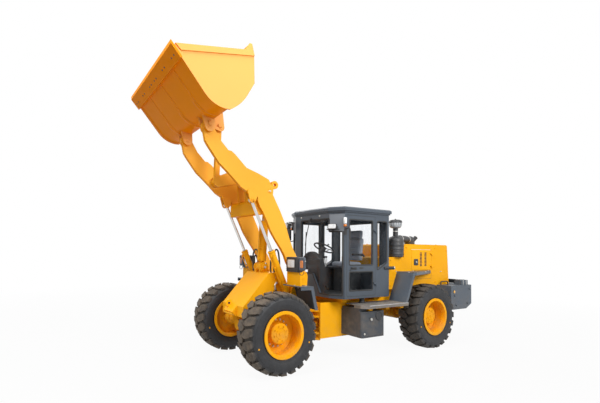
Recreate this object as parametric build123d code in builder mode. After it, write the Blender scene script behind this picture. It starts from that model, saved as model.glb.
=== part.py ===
"""Articulated wheel loader with a raised boom and a rolled-back bucket.

Millimetres. +X points forward, +Y to the driver's left and +Z up. The origin is on the ground under
the middle of the machine. The boom stands raised, the bucket rolled back and the steering straight.
"""
import os
from math import atan2, cos, degrees, hypot, radians, sin

from build123d import *

# ---------------------------------------------------------------- driving dimensions
WHEELBASE = 3590
FRONT_AXLE_X = 1590
REAR_AXLE_X = FRONT_AXLE_X - WHEELBASE
HALF_TRACK = 812
PIVOT_X = 654                        # vertical steering pivot between the two frames

TYRE_R = 620
TYRE_HALF_TREAD = 167
TYRE_HALF_SECTION = 198
TYRE_CROWN = 27                      # drop of the tread from its middle to its edges
TYRE_SHOULDER = 85                   # depth of the shoulder below the tread's middle
RIM_FLANGE_R = 353
BEAD_R = 318
RIM_HALF_WIDTH = 192
RIM_WALL = 14

# Loader linkage pivots in the side view, as (x, z).
BOOM_FOOT = (874, 1420)
BUCKET_HINGE = (2619, 3675)
BUCKET_LINK_PIN = (2224, 3845)
CRANK_PIVOT = (1714, 3110)
CRANK_LINK_PIN = (2254, 2955)
CRANK_CYLINDER_PIN = (1274, 2930)
TILT_BASE = (1369, 1570)
LIFT_EYE = (1842, 2655)
LIFT_BASE = (1069, 1050)

ARM_Y = 430                          # middle plane of each boom arm
ARM_THICK = 60
ARM_HUB_WIDTH = 110
BUCKET_HALF_WIDTH = 1000
BUCKET_LIP_HALF_WIDTH = 1028
BUCKET_PLATE = 20
BUCKET_FLOOR_ANGLE = 48.4            # floor's slope from level, bucket rolled back
BUCKET_HEEL_R = 410
BUCKET_HEEL = (2594, 4205)           # centre of the heel's round, (x, z)
BUCKET_FLOOR = 640                   # straight floor from the heel's round to the cutting edge
BUCKET_BACK_LOW = (2171, 4226)       # bend between the sloping heel plate and the back
BUCKET_BACK_TOP = (2183, 4608)

REAR_FRAME_HALF = 445
FRAME_PLATE = 30
FRAME_FRONT_X = 414
FRAME_BOTTOM = 330
FRAME_TOP = 950
FRAME_REAR_X = REAR_AXLE_X - 1040

CAB_HALF_WIDTH = 720
CAB_REAR_X = -1016
CAB_SIDE_FRONT_X = 114
CAB_FRONT_X = 244
CAB_FRONT_HALF = 470
CAB_SILL_Z = 1030
CAB_TOP_Z = 2545
CAB_WALL = 50
ROOF_TOP_Z = 2640
ROOF_OVERHANG = 35

HOOD_HALF_WIDTH = 600
HOOD_TOP_Z = 2020
HOOD_STEP_Z = 1760
HOOD_BOTTOM_Z = 1140
HOOD_FRONT_X = CAB_REAR_X - 114
HOOD_STEP_X = HOOD_FRONT_X - 476
HOOD_REAR_TOP_X = REAR_AXLE_X - 1030
HOOD_REAR_LOW_X = REAR_AXLE_X - 1086
HOOD_SHEET = 12

WEIGHT_FRONT_X = REAR_AXLE_X - 680
WEIGHT_REAR_X = WEIGHT_FRONT_X - 766
WEIGHT_HALF_WIDTH = 900
WEIGHT_TOP_Z = 1180
WEIGHT_BOTTOM_Z = 690

PIN_GAP = 0.05                       # radial running clearance at every pin and rod
SIDE_GAP = 2                         # gap beside an eye in its fork
SEAT_GAP = 0.3                       # soft pieces lie this far from what carries them

os.makedirs("parts", exist_ok=True)


# ---------------------------------------------------------------- helpers
def side_plane(y):
    """Upright plane at y, facing -Y, with sketch x along +X and sketch y along +Z."""
    return Plane(origin=(0, y, 0), x_dir=(1, 0, 0), z_dir=(0, -1, 0))


def span(side, near, far):
    """The y range between two distances from the centre plane, on one side of it."""
    return sorted((side * near, side * far))


def plate(points, y_low, y_high, mode=Mode.ADD):
    """Plate of a side-view outline, between two y values."""
    with BuildSketch(side_plane(y_high)) as outline:
        with BuildLine():
            Polyline(*points, close=True)
        make_face()
    extrude(outline.sketch, amount=y_high - y_low, mode=mode)


def strap(ends, y_low, y_high, mode=Mode.ADD):
    """Plate round a few circles, each (centre, radius), between two y values."""
    with BuildSketch(side_plane(y_high)) as outline:
        for centre, radius in ends:
            with Locations(centre):
                Circle(radius)
        make_hull()
    extrude(outline.sketch, amount=y_high - y_low, mode=mode)


def cross_bar(centre, radius, y_low, y_high, mode=Mode.ADD):
    """Round bar along Y, centred on a side-view point."""
    with BuildSketch(side_plane(y_high)) as outline:
        with Locations(centre):
            Circle(radius)
    extrude(outline.sketch, amount=y_high - y_low, mode=mode)


def post(x, y, radius, z_low, z_high, mode=Mode.ADD):
    """Upright round bar."""
    with BuildSketch(Plane.XY.offset(z_low)) as outline:
        with Locations((x, y)):
            Circle(radius)
    extrude(outline.sketch, amount=z_high - z_low, mode=mode)


def block(x_span, y_span, z_span, mode=Mode.ADD):
    """Box given by its extent along each axis."""
    centre = [(low + high) / 2 for low, high in (x_span, y_span, z_span)]
    sizes = [high - low for low, high in (x_span, y_span, z_span)]
    with Locations(tuple(centre)):
        Box(*sizes, mode=mode)


def sheet(points, z_low, z_high, mode=Mode.ADD):
    """Plate of a plan-view outline, between two heights."""
    with BuildSketch(Plane.XY.offset(z_low)) as outline:
        with BuildLine():
            Polyline(*points, close=True)
        make_face()
    extrude(outline.sketch, amount=z_high - z_low, mode=mode)


def save(builder, name):
    """Label a finished piece and write it under its node's name."""
    builder.part.label = name
    export_step(builder.part, f"parts/{name}.step")


def offset_point(point, angle, distance):
    """Side-view point moved a distance along a direction in degrees."""
    return (point[0] + distance * cos(radians(angle)), point[1] + distance * sin(radians(angle)))


# ---------------------------------------------------------------- hydraulic cylinders
def cylinder_axis(base, eye):
    """Plane at the base pin whose normal runs to the rod's eye."""
    return Plane(origin=base, x_dir=(0, 0, 1) if base[2] == eye[2] else (0, 1, 0),
                 z_dir=Vector(*eye) - Vector(*base))


def pin_direction(base, eye):
    """The pins of a level cylinder stand upright, and those of a sloping one lie along Y."""
    return Vector(0, 0, 1) if base[2] == eye[2] else Vector(0, 1, 0)


def pin_plane(centre, direction, half_length):
    """Plane at one end of a pin of the given half length."""
    side = Vector(1, 0, 0)
    start = Vector(*centre) - direction * half_length
    return Plane(origin=start, x_dir=side, z_dir=direction)


def make_barrel(base, eye, length, tube_r, rod_r, hub_r, hub_half, pin_r, neck):
    """Cylinder tube with its base eye, a narrower neck beside the base lugs and a bore for the rod."""
    axis = cylinder_axis(base, eye)
    turn = pin_direction(base, eye)
    floor = hub_r + 20
    with BuildPart() as barrel:
        with BuildSketch(axis):
            Circle(hub_half - 1)
        extrude(amount=neck)
        with BuildSketch(axis.offset(neck)):
            Circle(tube_r)
        extrude(amount=length - neck)
        with BuildSketch(axis.offset(length - 60)):
            Circle(tube_r + 6)
        extrude(amount=60)
        with BuildSketch(pin_plane(base, turn, hub_half)):
            Circle(hub_r)
        extrude(amount=2 * hub_half)
        with BuildSketch(axis.offset(floor)):
            Circle(rod_r + PIN_GAP)
        extrude(amount=length - floor, mode=Mode.SUBTRACT)
        with BuildSketch(pin_plane(base, turn, hub_half)):
            Circle(pin_r + PIN_GAP)
        extrude(amount=2 * hub_half, mode=Mode.SUBTRACT)
    return barrel


def make_rod(base, eye, inner_end, rod_r, eye_r, eye_half, pin_r, pin_half):
    """Rod with its eye and the pin that stays in the eye."""
    axis = cylinder_axis(base, eye)
    turn = pin_direction(base, eye)
    reach = (Vector(*eye) - Vector(*base)).length
    with BuildPart() as rod:
        with BuildSketch(axis.offset(inner_end)):
            Circle(rod_r)
        extrude(amount=reach - inner_end)
        with BuildSketch(pin_plane(eye, turn, eye_half)):
            Circle(eye_r)
        extrude(amount=2 * eye_half)
        with BuildSketch(pin_plane(eye, turn, pin_half)):
            Circle(pin_r)
        extrude(amount=2 * pin_half)
    return rod


# ---------------------------------------------------------------- wheels
def make_tyre(x, side):
    """Tyre as a turned ring: tread, shoulders, bulging walls and beads."""
    shoulder_r = TYRE_R - TYRE_SHOULDER
    with BuildPart() as tyre:
        with BuildSketch(Plane(origin=(x, side * HALF_TRACK, TYRE_R), x_dir=(1, 0, 0), z_dir=(0, 0, 1))):
            with BuildLine():
                Polyline(
                    (BEAD_R + SEAT_GAP, -RIM_HALF_WIDTH + RIM_WALL + 8),
                    (RIM_FLANGE_R + 6, -RIM_HALF_WIDTH + RIM_WALL + 8),
                    (RIM_FLANGE_R + 90, -TYRE_HALF_SECTION),
                    (shoulder_r, -TYRE_HALF_SECTION + 6),
                    (TYRE_R - TYRE_CROWN, -TYRE_HALF_TREAD),
                    (TYRE_R, -TYRE_HALF_TREAD / 2),
                    (TYRE_R, TYRE_HALF_TREAD / 2),
                    (TYRE_R - TYRE_CROWN, TYRE_HALF_TREAD),
                    (shoulder_r, TYRE_HALF_SECTION - 6),
                    (RIM_FLANGE_R + 90, TYRE_HALF_SECTION),
                    (RIM_FLANGE_R + 6, RIM_HALF_WIDTH - RIM_WALL - 8),
                    (BEAD_R + SEAT_GAP, RIM_HALF_WIDTH - RIM_WALL - 8),
                    close=True,
                )
            make_face()
        revolve(axis=Axis((x, 0, TYRE_R), (0, 1, 0)))
    return tyre


SPINDLE_R = 70
WHEEL_FACE_Y = HALF_TRACK - 55       # the wheel's dish stands here
HUB_R = 172
HUB_END_Y = HALF_TRACK + 55
SPINDLE_END_Y = WHEEL_FACE_Y + 40


def make_rim(x, side):
    """Rim, dish and planetary hub in one turned piece, bored for the axle spindle."""
    wall_r = BEAD_R - RIM_WALL
    dish = WHEEL_FACE_Y - HALF_TRACK
    hub = HUB_END_Y - HALF_TRACK
    inner = -90
    with BuildPart() as rim:
        with BuildSketch(Plane(origin=(x, side * HALF_TRACK, TYRE_R), x_dir=(1, 0, 0), z_dir=(0, 0, side))):
            with BuildLine():
                Polyline(
                    (wall_r, -RIM_HALF_WIDTH),
                    (RIM_FLANGE_R, -RIM_HALF_WIDTH),
                    (RIM_FLANGE_R, -RIM_HALF_WIDTH + RIM_WALL),
                    (BEAD_R, -RIM_HALF_WIDTH + RIM_WALL),
                    (BEAD_R, RIM_HALF_WIDTH - RIM_WALL),
                    (RIM_FLANGE_R, RIM_HALF_WIDTH - RIM_WALL),
                    (RIM_FLANGE_R, RIM_HALF_WIDTH),
                    (wall_r, RIM_HALF_WIDTH),
                    (wall_r, dish + 30),
                    (HUB_R + 40, dish + 12),
                    (HUB_R + 40, dish + 30),
                    (HUB_R, dish + 30),
                    (HUB_R - 12, hub - 25),
                    (HUB_R - 60, hub),
                    (0, hub),
                    (0, dish + 40),
                    (SPINDLE_R + PIN_GAP, dish + 40),
                    (SPINDLE_R + PIN_GAP, inner),
                    (SPINDLE_R + 45, inner),
                    (SPINDLE_R + 45, dish - 10),
                    (wall_r, dish + 10),
                    close=True,
                )
            make_face()
        revolve(axis=Axis((x, 0, TYRE_R), (0, 1, 0)))
    return rim


def make_axle(x, with_pads):
    """Axle with its differential housing, tapered arms, brake housings and wheel spindles."""
    housing_end = HALF_TRACK - 90 - 8
    with BuildPart() as axle:
        cross_bar((x, TYRE_R), 90, -housing_end, housing_end)
        cross_bar((x, TYRE_R), 165, -150, 150)
        for side in (-1, 1):
            cross_bar((x, TYRE_R), 118, *span(side, 540, housing_end))
            cross_bar((x, TYRE_R), SPINDLE_R, *span(side, housing_end, SPINDLE_END_Y))
            block((x - 95, x + 95), span(side, 250, 420), (TYRE_R - 20, with_pads))
        with BuildSketch(Plane(origin=(x - 240, 0, TYRE_R), x_dir=(0, 1, 0), z_dir=(1, 0, 0))):
            Circle(85)
        extrude(amount=480)
    return axle


WHEELS = (
    # name, axle x, side
    ("front_left", FRONT_AXLE_X, 1),
    ("front_right", FRONT_AXLE_X, -1),
    ("rear_left", REAR_AXLE_X, 1),
    ("rear_right", REAR_AXLE_X, -1),
)
for wheel_name, axle_x, side in WHEELS:
    save(make_tyre(axle_x, side), f"tyre_{wheel_name}")
    save(make_rim(axle_x, side), f"rim_{wheel_name}")

FRONT_PAD_Z = 790
REAR_PAD_Z = 790
save(make_axle(FRONT_AXLE_X, FRONT_PAD_Z), "front_axle")
save(make_axle(REAR_AXLE_X, REAR_PAD_Z), "rear_axle")


# ---------------------------------------------------------------- frames and steering pivot
PIVOT_PIN_R = 40
PIVOT_EYE_R = 110
HINGES = (
    # lower face of the front frame's lug, its upper face
    (335, 395),
    (725, 785),
)
FORK_GAP = 3
FORK_PLATE = 35
STEER_BASE = (-150, 330)             # plan view (x, y) of the left steering cylinder's base pin
STEER_EYE = (740, 270)
STEER_Z = 560
STEER_HUB_HALF = 38
STEER_PIN_R = 22
STEER_LUG = 20
WALL_INNER = REAR_FRAME_HALF - FRAME_PLATE
AXLE_ARCH_X = REAR_AXLE_X + 1300     # the frame's bottom rises behind here to clear the rear axle
STEP_REAR_X = REAR_AXLE_X + 774

CAB_BEAMS = (-850, -50)
CAB_BEAM_HALF = 560
STEP_BEAMS = (STEP_REAR_X + 76, STEP_REAR_X + 466, -330)
STEP_BEAM_END = 900
STEP_Z = (880, 935)

SIDE_OUTLINE = (
    (FRAME_FRONT_X, FRAME_BOTTOM),
    (FRAME_FRONT_X, FRAME_TOP),
    (REAR_AXLE_X + 900, FRAME_TOP),
    (REAR_AXLE_X + 750, HOOD_BOTTOM_Z - 10),
    (FRAME_REAR_X, HOOD_BOTTOM_Z - 10),
    (FRAME_REAR_X, REAR_PAD_Z),
    (AXLE_ARCH_X - 300, REAR_PAD_Z),
    (AXLE_ARCH_X, 560),
    (AXLE_ARCH_X + 300, FRAME_BOTTOM),
)


def make_frame_side(side):
    """Side plate of the rear frame with the brackets that carry the platform and the fender."""
    with BuildPart() as frame_side:
        plate(SIDE_OUTLINE, *span(side, WALL_INNER, REAR_FRAME_HALF))
        for beam_x in STEP_BEAMS:
            block((beam_x - 40, beam_x + 40), span(side, REAR_FRAME_HALF, STEP_BEAM_END),
                  (STEP_Z[0] - 50, STEP_Z[0]))
    return frame_side


save(make_frame_side(1), "frame_side_left")
save(make_frame_side(-1), "frame_side_right")

with BuildPart() as rear_frame:
    # front wall above and below the steering cylinders, belly plate and cross members
    block((FRAME_FRONT_X - FRAME_PLATE, FRAME_FRONT_X), (-WALL_INNER, WALL_INNER), (FRAME_BOTTOM, 440))
    block((FRAME_FRONT_X - FRAME_PLATE, FRAME_FRONT_X), (-WALL_INNER, WALL_INNER), (680, FRAME_TOP))
    block((AXLE_ARCH_X + 300, FRAME_FRONT_X), (-WALL_INNER, WALL_INNER), (FRAME_BOTTOM, FRAME_BOTTOM + 20))
    block((REAR_AXLE_X + 700, REAR_AXLE_X + 760), (-WALL_INNER, WALL_INNER), (REAR_PAD_Z, 1100))
    block((REAR_AXLE_X - 110, REAR_AXLE_X + 110), (-WALL_INNER, WALL_INNER), (REAR_PAD_Z, REAR_PAD_Z + 60))
    block((FRAME_REAR_X, FRAME_REAR_X + 60), (-WALL_INNER, WALL_INNER), (REAR_PAD_Z, 1100))
    # forks of the steering pivot, and its pins
    for lug_low, lug_high in HINGES:
        for low in (lug_low - FORK_GAP - FORK_PLATE, lug_high + FORK_GAP):
            with BuildSketch(Plane.XY.offset(low)) as fork:
                with Locations((PIVOT_X, 0)):
                    Circle(PIVOT_EYE_R)
                with Locations((FRAME_FRONT_X - 15, 0)):
                    Rectangle(30, 2 * WALL_INNER)
                make_hull()
            extrude(fork.sketch, amount=FORK_PLATE)
        post(PIVOT_X, 0, PIVOT_PIN_R, lug_low - FORK_GAP - FORK_PLATE - 10,
             lug_high + FORK_GAP + FORK_PLATE + 12)
    # base brackets and pins of the steering cylinders
    for side in (-1, 1):
        for low in (STEER_Z - STEER_HUB_HALF - SIDE_GAP - STEER_LUG, STEER_Z + STEER_HUB_HALF + SIDE_GAP):
            block((STEER_BASE[0] - 60, STEER_BASE[0] + 45), span(side, STEER_BASE[1] - 45, WALL_INNER),
                  (low, low + STEER_LUG))
        post(STEER_BASE[0], side * STEER_BASE[1], STEER_PIN_R, STEER_Z - STEER_HUB_HALF - SIDE_GAP - STEER_LUG,
             STEER_Z + STEER_HUB_HALF + SIDE_GAP + STEER_LUG)
    # cross beams that carry the cab
    for beam_x in CAB_BEAMS:
        block((beam_x - 60, beam_x + 60), (-CAB_BEAM_HALF, CAB_BEAM_HALF), (FRAME_TOP, CAB_SILL_Z))
save(rear_frame, "rear_frame")

BODY_REAR_X = 790
NOSE_HALF = 150                      # half width of the nose's tongue
CHEEK = 30
INNER_CHEEK = (ARM_Y - ARM_HUB_WIDTH / 2 - SIDE_GAP - CHEEK, ARM_Y - ARM_HUB_WIDTH / 2 - SIDE_GAP)
OUTER_CHEEK = (ARM_Y + ARM_HUB_WIDTH / 2 + SIDE_GAP, ARM_Y + ARM_HUB_WIDTH / 2 + SIDE_GAP + CHEEK)
BOOM_PIN_R = 40
LIFT_PIN_R = 32
TILT_PIN_R = 38
TILT_HUB_HALF = 50
TILT_LUG = 30

with BuildPart() as front_frame:
    plate(
        (
            (BODY_REAR_X, 430),
            (1240, 430),
            (1370, FRONT_PAD_Z),
            (1960, FRONT_PAD_Z),
            (2010, 860),
            (1440, 1480),
            (1290, 1500),
            (1010, 1100),
            (BODY_REAR_X, 1000),
        ),
        -INNER_CHEEK[0], INNER_CHEEK[0],
    )
    # the belly is open between the two side walls
    plate(((1300, 380), (1300, 700), (1500, 900), (1900, 900), (1900, 380)), -INNER_CHEEK[0] + 40,
          INNER_CHEEK[0] - 40, mode=Mode.SUBTRACT)
    for side in (-1, 1):
        for cheek in (INNER_CHEEK, OUTER_CHEEK):
            strap(((BOOM_FOOT, 110), (LIFT_BASE, 85), ((870, 850), 60), ((1130, 850), 60)), *span(side, *cheek))
        # shelf that ties the outer cheek to the body
        block((810, 1190), span(side, INNER_CHEEK[0], OUTER_CHEEK[1]), (790, 830))
        block((810, 840), span(side, INNER_CHEEK[0], OUTER_CHEEK[1]), (790, 1200))
        cross_bar(BOOM_FOOT, BOOM_PIN_R, *span(side, INNER_CHEEK[0], OUTER_CHEEK[1] + 12))
        cross_bar(LIFT_BASE, LIFT_PIN_R, *span(side, INNER_CHEEK[0], OUTER_CHEEK[1] + 12))
        # tilt cylinder's base lugs
        strap(((TILT_BASE, 75), ((1290, 1450), 50), ((1400, 1440), 40)), *span(side, TILT_HUB_HALF + SIDE_GAP,
              TILT_HUB_HALF + SIDE_GAP + TILT_LUG))
        # steering cylinder's eye lugs, open towards the rod's eye
        for low in (STEER_Z - STEER_HUB_HALF - 6 - STEER_LUG, STEER_Z + STEER_HUB_HALF + 6):
            with BuildSketch(Plane.XY.offset(low)) as lug:
                with Locations((STEER_EYE[0], side * STEER_EYE[1])):
                    Circle(45)
                with Locations((BODY_REAR_X + 20, side * (STEER_EYE[1] - 20))):
                    Rectangle(40, 130)
                make_hull()
            extrude(lug.sketch, amount=STEER_LUG)
    tilt_pin_half = TILT_HUB_HALF + SIDE_GAP + TILT_LUG + 8
    cross_bar(TILT_BASE, TILT_PIN_R, -tilt_pin_half, tilt_pin_half)
    # lugs of the steering pivot
    for lug_low, lug_high in HINGES:
        with BuildSketch(Plane.XY.offset(lug_low)) as lug:
            with Locations((PIVOT_X, 0)):
                Circle(PIVOT_EYE_R)
            with Locations((BODY_REAR_X + 30, 0)):
                Rectangle(60, 360)
            make_hull()
        extrude(lug.sketch, amount=lug_high - lug_low)
        post(PIVOT_X, 0, PIVOT_PIN_R + PIN_GAP, lug_low, lug_high, mode=Mode.SUBTRACT)
    # lower lug's tie to the body
    block((BODY_REAR_X, 1240), (-180, 180), (HINGES[0][0], 440))
    # recess behind each steering rod's eye
    for side in (-1, 1):
        block((BODY_REAR_X, BODY_REAR_X + 75), span(side, 190, INNER_CHEEK[0]), (STEER_Z - STEER_HUB_HALF - 6,
              STEER_Z + STEER_HUB_HALF + 6), mode=Mode.SUBTRACT)
    # the nose narrows to a tongue between two notches
    for side in (-1, 1):
        block((1920, 2040), span(side, NOSE_HALF, INNER_CHEEK[0] + 10), (FRONT_PAD_Z - 10, 980), mode=Mode.SUBTRACT)
    # round access holes through the front corner of each side wall
    cross_bar((1860, 880), 42, -INNER_CHEEK[0], INNER_CHEEK[0], mode=Mode.SUBTRACT)
save(front_frame, "front_frame")


# ---------------------------------------------------------------- steering cylinders
for side_name, side in (("left", 1), ("right", -1)):
    base = (STEER_BASE[0], side * STEER_BASE[1], STEER_Z)
    eye = (STEER_EYE[0], side * STEER_EYE[1], STEER_Z)
    barrel = make_barrel(base, eye, 560, 42, 22, 36, STEER_HUB_HALF, STEER_PIN_R, 60)
    save(barrel, f"steering_barrel_{side_name}")
    rod = make_rod(base, eye, 290, 22, 36, STEER_HUB_HALF, STEER_PIN_R, STEER_HUB_HALF + 2)
    save(rod, f"steering_rod_{side_name}")


# ---------------------------------------------------------------- boom
ARM_LOW = ARM_Y - ARM_THICK / 2
ARM_HIGH = ARM_Y + ARM_THICK / 2
LIFT_ROD_R = 25
LIFT_EYE_R = 46
LIFT_EYE_HALF = 26
# How far the rod's eye strays each way from its pin as the boom swings, as (x, z).
LIFT_STRAY = ((53, -27), (36, -6), (4, 10), (-20, 18), (-52, 27))
LIFT_SWAY = 2                         # the rod turns this much in the arm as the boom comes down
EYE_CHEEK = 24
ARM_OUTLINE = (
    # rear and upper edge, from the foot to the tip
    (790, 1490), (974, 1790), (1034, 1890), (1104, 2045), (1184, 2270), (1294, 2490), (1385, 2650),
    (1450, 2760), (1440, 2860), (1534, 3000), (1724, 3075), (1954, 3145), (2154, 3325), (2224, 3372),
    (2274, 3374), (2424, 3520), (2519, 3675),
    # tip, then the front and lower edge back to the foot
    (2619, 3745), (2700, 3640), (2664, 3470), (2624, 3410), (2514, 3270), (2424, 3160), (2324, 3080),
    (2184, 2960), (2054, 2840), (1944, 2780), (1774, 2660), (1634, 2470), (1560, 2330), (1480, 2170),
    (1382, 2030), (1262, 1870), (1200, 1770), (1154, 1660), (960, 1370),
)
CROSS_TUBE = ((1600, 1765), (2435, 2690))
KNEE_EYE = (1414, 2925)


def make_arm(side):
    """Boom arm: a thick bent plate with hubs at its foot and tip and a fork for the lift rod."""
    rod_angle = degrees(atan2(LIFT_BASE[1] - LIFT_EYE[1], LIFT_BASE[0] - LIFT_EYE[0]))
    with BuildPart() as arm:
        plate(ARM_OUTLINE, *span(side, ARM_LOW, ARM_HIGH))
        strap(((BUCKET_HINGE, 100), ((2590, 3560), 60)), *span(side, ARM_LOW, ARM_HIGH))
        cross_bar(KNEE_EYE, 66, *span(side, ARM_LOW, ARM_HIGH))
        # pocket that the lift rod and its eye swing in, between two cheeks
        strays = [(LIFT_EYE[0] + dx, LIFT_EYE[1] + dz) for dx, dz in LIFT_STRAY]
        strap([(point, LIFT_EYE_R + 6) for point in strays], *span(side, ARM_LOW, ARM_HIGH), mode=Mode.SUBTRACT)
        ends = [offset_point(point, rod_angle + turn, 330) for point in strays for turn in (0, LIFT_SWAY)]
        strap([(point, LIFT_ROD_R + 6) for point in strays + ends], *span(side, ARM_LOW, ARM_HIGH),
              mode=Mode.SUBTRACT)
        for near, far in ((ARM_LOW - EYE_CHEEK, ARM_LOW), (ARM_HIGH, ARM_HIGH + EYE_CHEEK)):
            strap(((LIFT_EYE, 56), ((1800, 2735), 45), ((1895, 2775), 42)), *span(side, near, far))
        cross_bar(LIFT_EYE, 34, *span(side, ARM_HIGH + EYE_CHEEK, ARM_HIGH + EYE_CHEEK + 10))
        # hubs at the foot and the tip
        cross_bar(BOOM_FOOT, 95, *span(side, ARM_Y - ARM_HUB_WIDTH / 2, ARM_Y + ARM_HUB_WIDTH / 2))
        cross_bar(BUCKET_HINGE, 78, *span(side, ARM_Y - ARM_HUB_WIDTH / 2, ARM_Y + ARM_HUB_WIDTH / 2))
        cross_bar(BOOM_FOOT, BOOM_PIN_R + PIN_GAP, *span(side, ARM_Y - 90, ARM_Y + 90), mode=Mode.SUBTRACT)
        cross_bar(BUCKET_HINGE, BUCKET_PIN_R + PIN_GAP, *span(side, ARM_Y - 90, ARM_Y + 90), mode=Mode.SUBTRACT)
        cross_bar(KNEE_EYE, KNEE_EYE_R, *span(side, ARM_Y - 90, ARM_Y + 90), mode=Mode.SUBTRACT)
    return arm


BUCKET_PIN_R = 35
KNEE_EYE_R = 26
save(make_arm(1), "boom_arm_left")
save(make_arm(-1), "boom_arm_right")

CRANK_CHEEK = (60, 90)               # distance of each bell-crank cheek from the centre plane
CRANK_HUB_HALF = 95
CRANK_PIN_R = 40
BRACKET = (97, 122)

with BuildPart() as boom_cross_tube:
    with BuildSketch(side_plane(ARM_LOW)) as tube_outline:
        with BuildLine():
            Polyline(
                (CROSS_TUBE[0][0], CROSS_TUBE[1][0]),
                (CROSS_TUBE[0][1], CROSS_TUBE[1][0]),
                (CROSS_TUBE[0][1], CROSS_TUBE[1][1]),
                (CROSS_TUBE[0][0], CROSS_TUBE[1][1]),
                close=True,
            )
        make_face()
        fillet(tube_outline.vertices().group_by(Axis.Y)[-1], radius=75)
    extrude(tube_outline.sketch, amount=2 * ARM_LOW)
    for side in (-1, 1):
        strap(((CRANK_PIVOT, 100), ((1660, 2620), 50), ((1705, 2620), 50)), *span(side, *BRACKET))
    cross_bar(CRANK_PIVOT, CRANK_PIN_R, -BRACKET[1] - 8, BRACKET[1] + 8)
save(boom_cross_tube, "boom_cross_tube")

with BuildPart() as bell_crank:
    for side in (-1, 1):
        strap(((CRANK_PIVOT, 115), (CRANK_LINK_PIN, 85), ((1960, 3090), 75)), *span(side, *CRANK_CHEEK))
        strap(((CRANK_PIVOT, 115), (CRANK_CYLINDER_PIN, 70)), *span(side, *CRANK_CHEEK))
    cross_bar(CRANK_PIVOT, 85, -CRANK_HUB_HALF, CRANK_HUB_HALF)
    cross_bar(CRANK_PIVOT, CRANK_PIN_R + PIN_GAP, -CRANK_HUB_HALF, CRANK_HUB_HALF, mode=Mode.SUBTRACT)
save(bell_crank, "bell_crank")

LINK_HALF = 40
with BuildPart() as tilt_link:
    strap(((BUCKET_LINK_PIN, 42), (CRANK_LINK_PIN, 42)), -LINK_HALF + 8, LINK_HALF - 8)
    cross_bar(BUCKET_LINK_PIN, 62, -LINK_HALF - 10, LINK_HALF + 10)
    cross_bar(CRANK_LINK_PIN, 66, -LINK_HALF - 10, LINK_HALF + 10)
    cross_bar(CRANK_LINK_PIN, 34, -CRANK_CHEEK[0] + SIDE_GAP, CRANK_CHEEK[0] - SIDE_GAP)
    cross_bar(BUCKET_LINK_PIN, BUCKET_PIN_R + PIN_GAP, -LINK_HALF - 10, LINK_HALF + 10, mode=Mode.SUBTRACT)
save(tilt_link, "tilt_link")

tilt_base = (TILT_BASE[0], 0, TILT_BASE[1])
tilt_eye = (CRANK_CYLINDER_PIN[0], 0, CRANK_CYLINDER_PIN[1])
save(make_barrel(tilt_base, tilt_eye, 790, 78, 38, 68, TILT_HUB_HALF, TILT_PIN_R, 105), "tilt_barrel")
tilt_rod = make_rod(tilt_base, tilt_eye, 410, 38, 64, TILT_HUB_HALF - 4, TILT_PIN_R, CRANK_CHEEK[0] - SIDE_GAP)
save(tilt_rod, "tilt_rod")

for side_name, side in (("left", 1), ("right", -1)):
    base = (LIFT_BASE[0], side * ARM_Y, LIFT_BASE[1])
    eye = (LIFT_EYE[0], side * ARM_Y, LIFT_EYE[1])
    barrel = make_barrel(base, eye, 880, 52, LIFT_ROD_R, 62, ARM_HUB_WIDTH / 2, LIFT_PIN_R, 100)
    save(barrel, f"lift_barrel_{side_name}")
    rod = make_rod(base, eye, 640, LIFT_ROD_R, LIFT_EYE_R, LIFT_EYE_HALF, 24, LIFT_EYE_HALF + 2)
    save(rod, f"lift_rod_{side_name}")


# ---------------------------------------------------------------- bucket
FLOOR_DIR = BUCKET_FLOOR_ANGLE
HEEL_BEND = -97                      # direction from the heel's centre where its round ends
SIDE_ROUND_R = 372                   # the side plates' round from the heel to their straight rear edge
SIDE_BEND = -158                     # direction from the heel's centre where it ends
RIM_PROUD = 25                       # the side plates stand out this far round the heel
EDGE_DROP = 16                       # doubler between the floor and the cutting edge
EDGE_THICK = 32
EDGE_DEPTH = 240
EDGE_BEVEL = 40
EDGE_BEYOND = 112                    # how far the edge runs past the floor
LUG = 30
LUG_REACH = 87                       # outer face of the hinge lugs from the arm's middle plane
LINK_LUG = 25
SIDE_BACK_LOW = (2157, 4220)
SIDE_BACK_TOP = (2169, 4608)
GUARD_TIP = (2212, 4768)
GUARD_END = (2250, 4770)
RIM_REAR = (2321, 4660)
RIM_FRONT = (3345, 4464)
RIM_BAND = 14


def heel_point(radius, angle):
    """Point on a circle about the heel's centre."""
    return offset_point(BUCKET_HEEL, angle, radius)


HEEL_END = heel_point(BUCKET_HEEL_R, HEEL_BEND)
SLOPE_DIR = degrees(atan2(BUCKET_BACK_LOW[1] - HEEL_END[1], BUCKET_BACK_LOW[0] - HEEL_END[0]))


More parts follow.
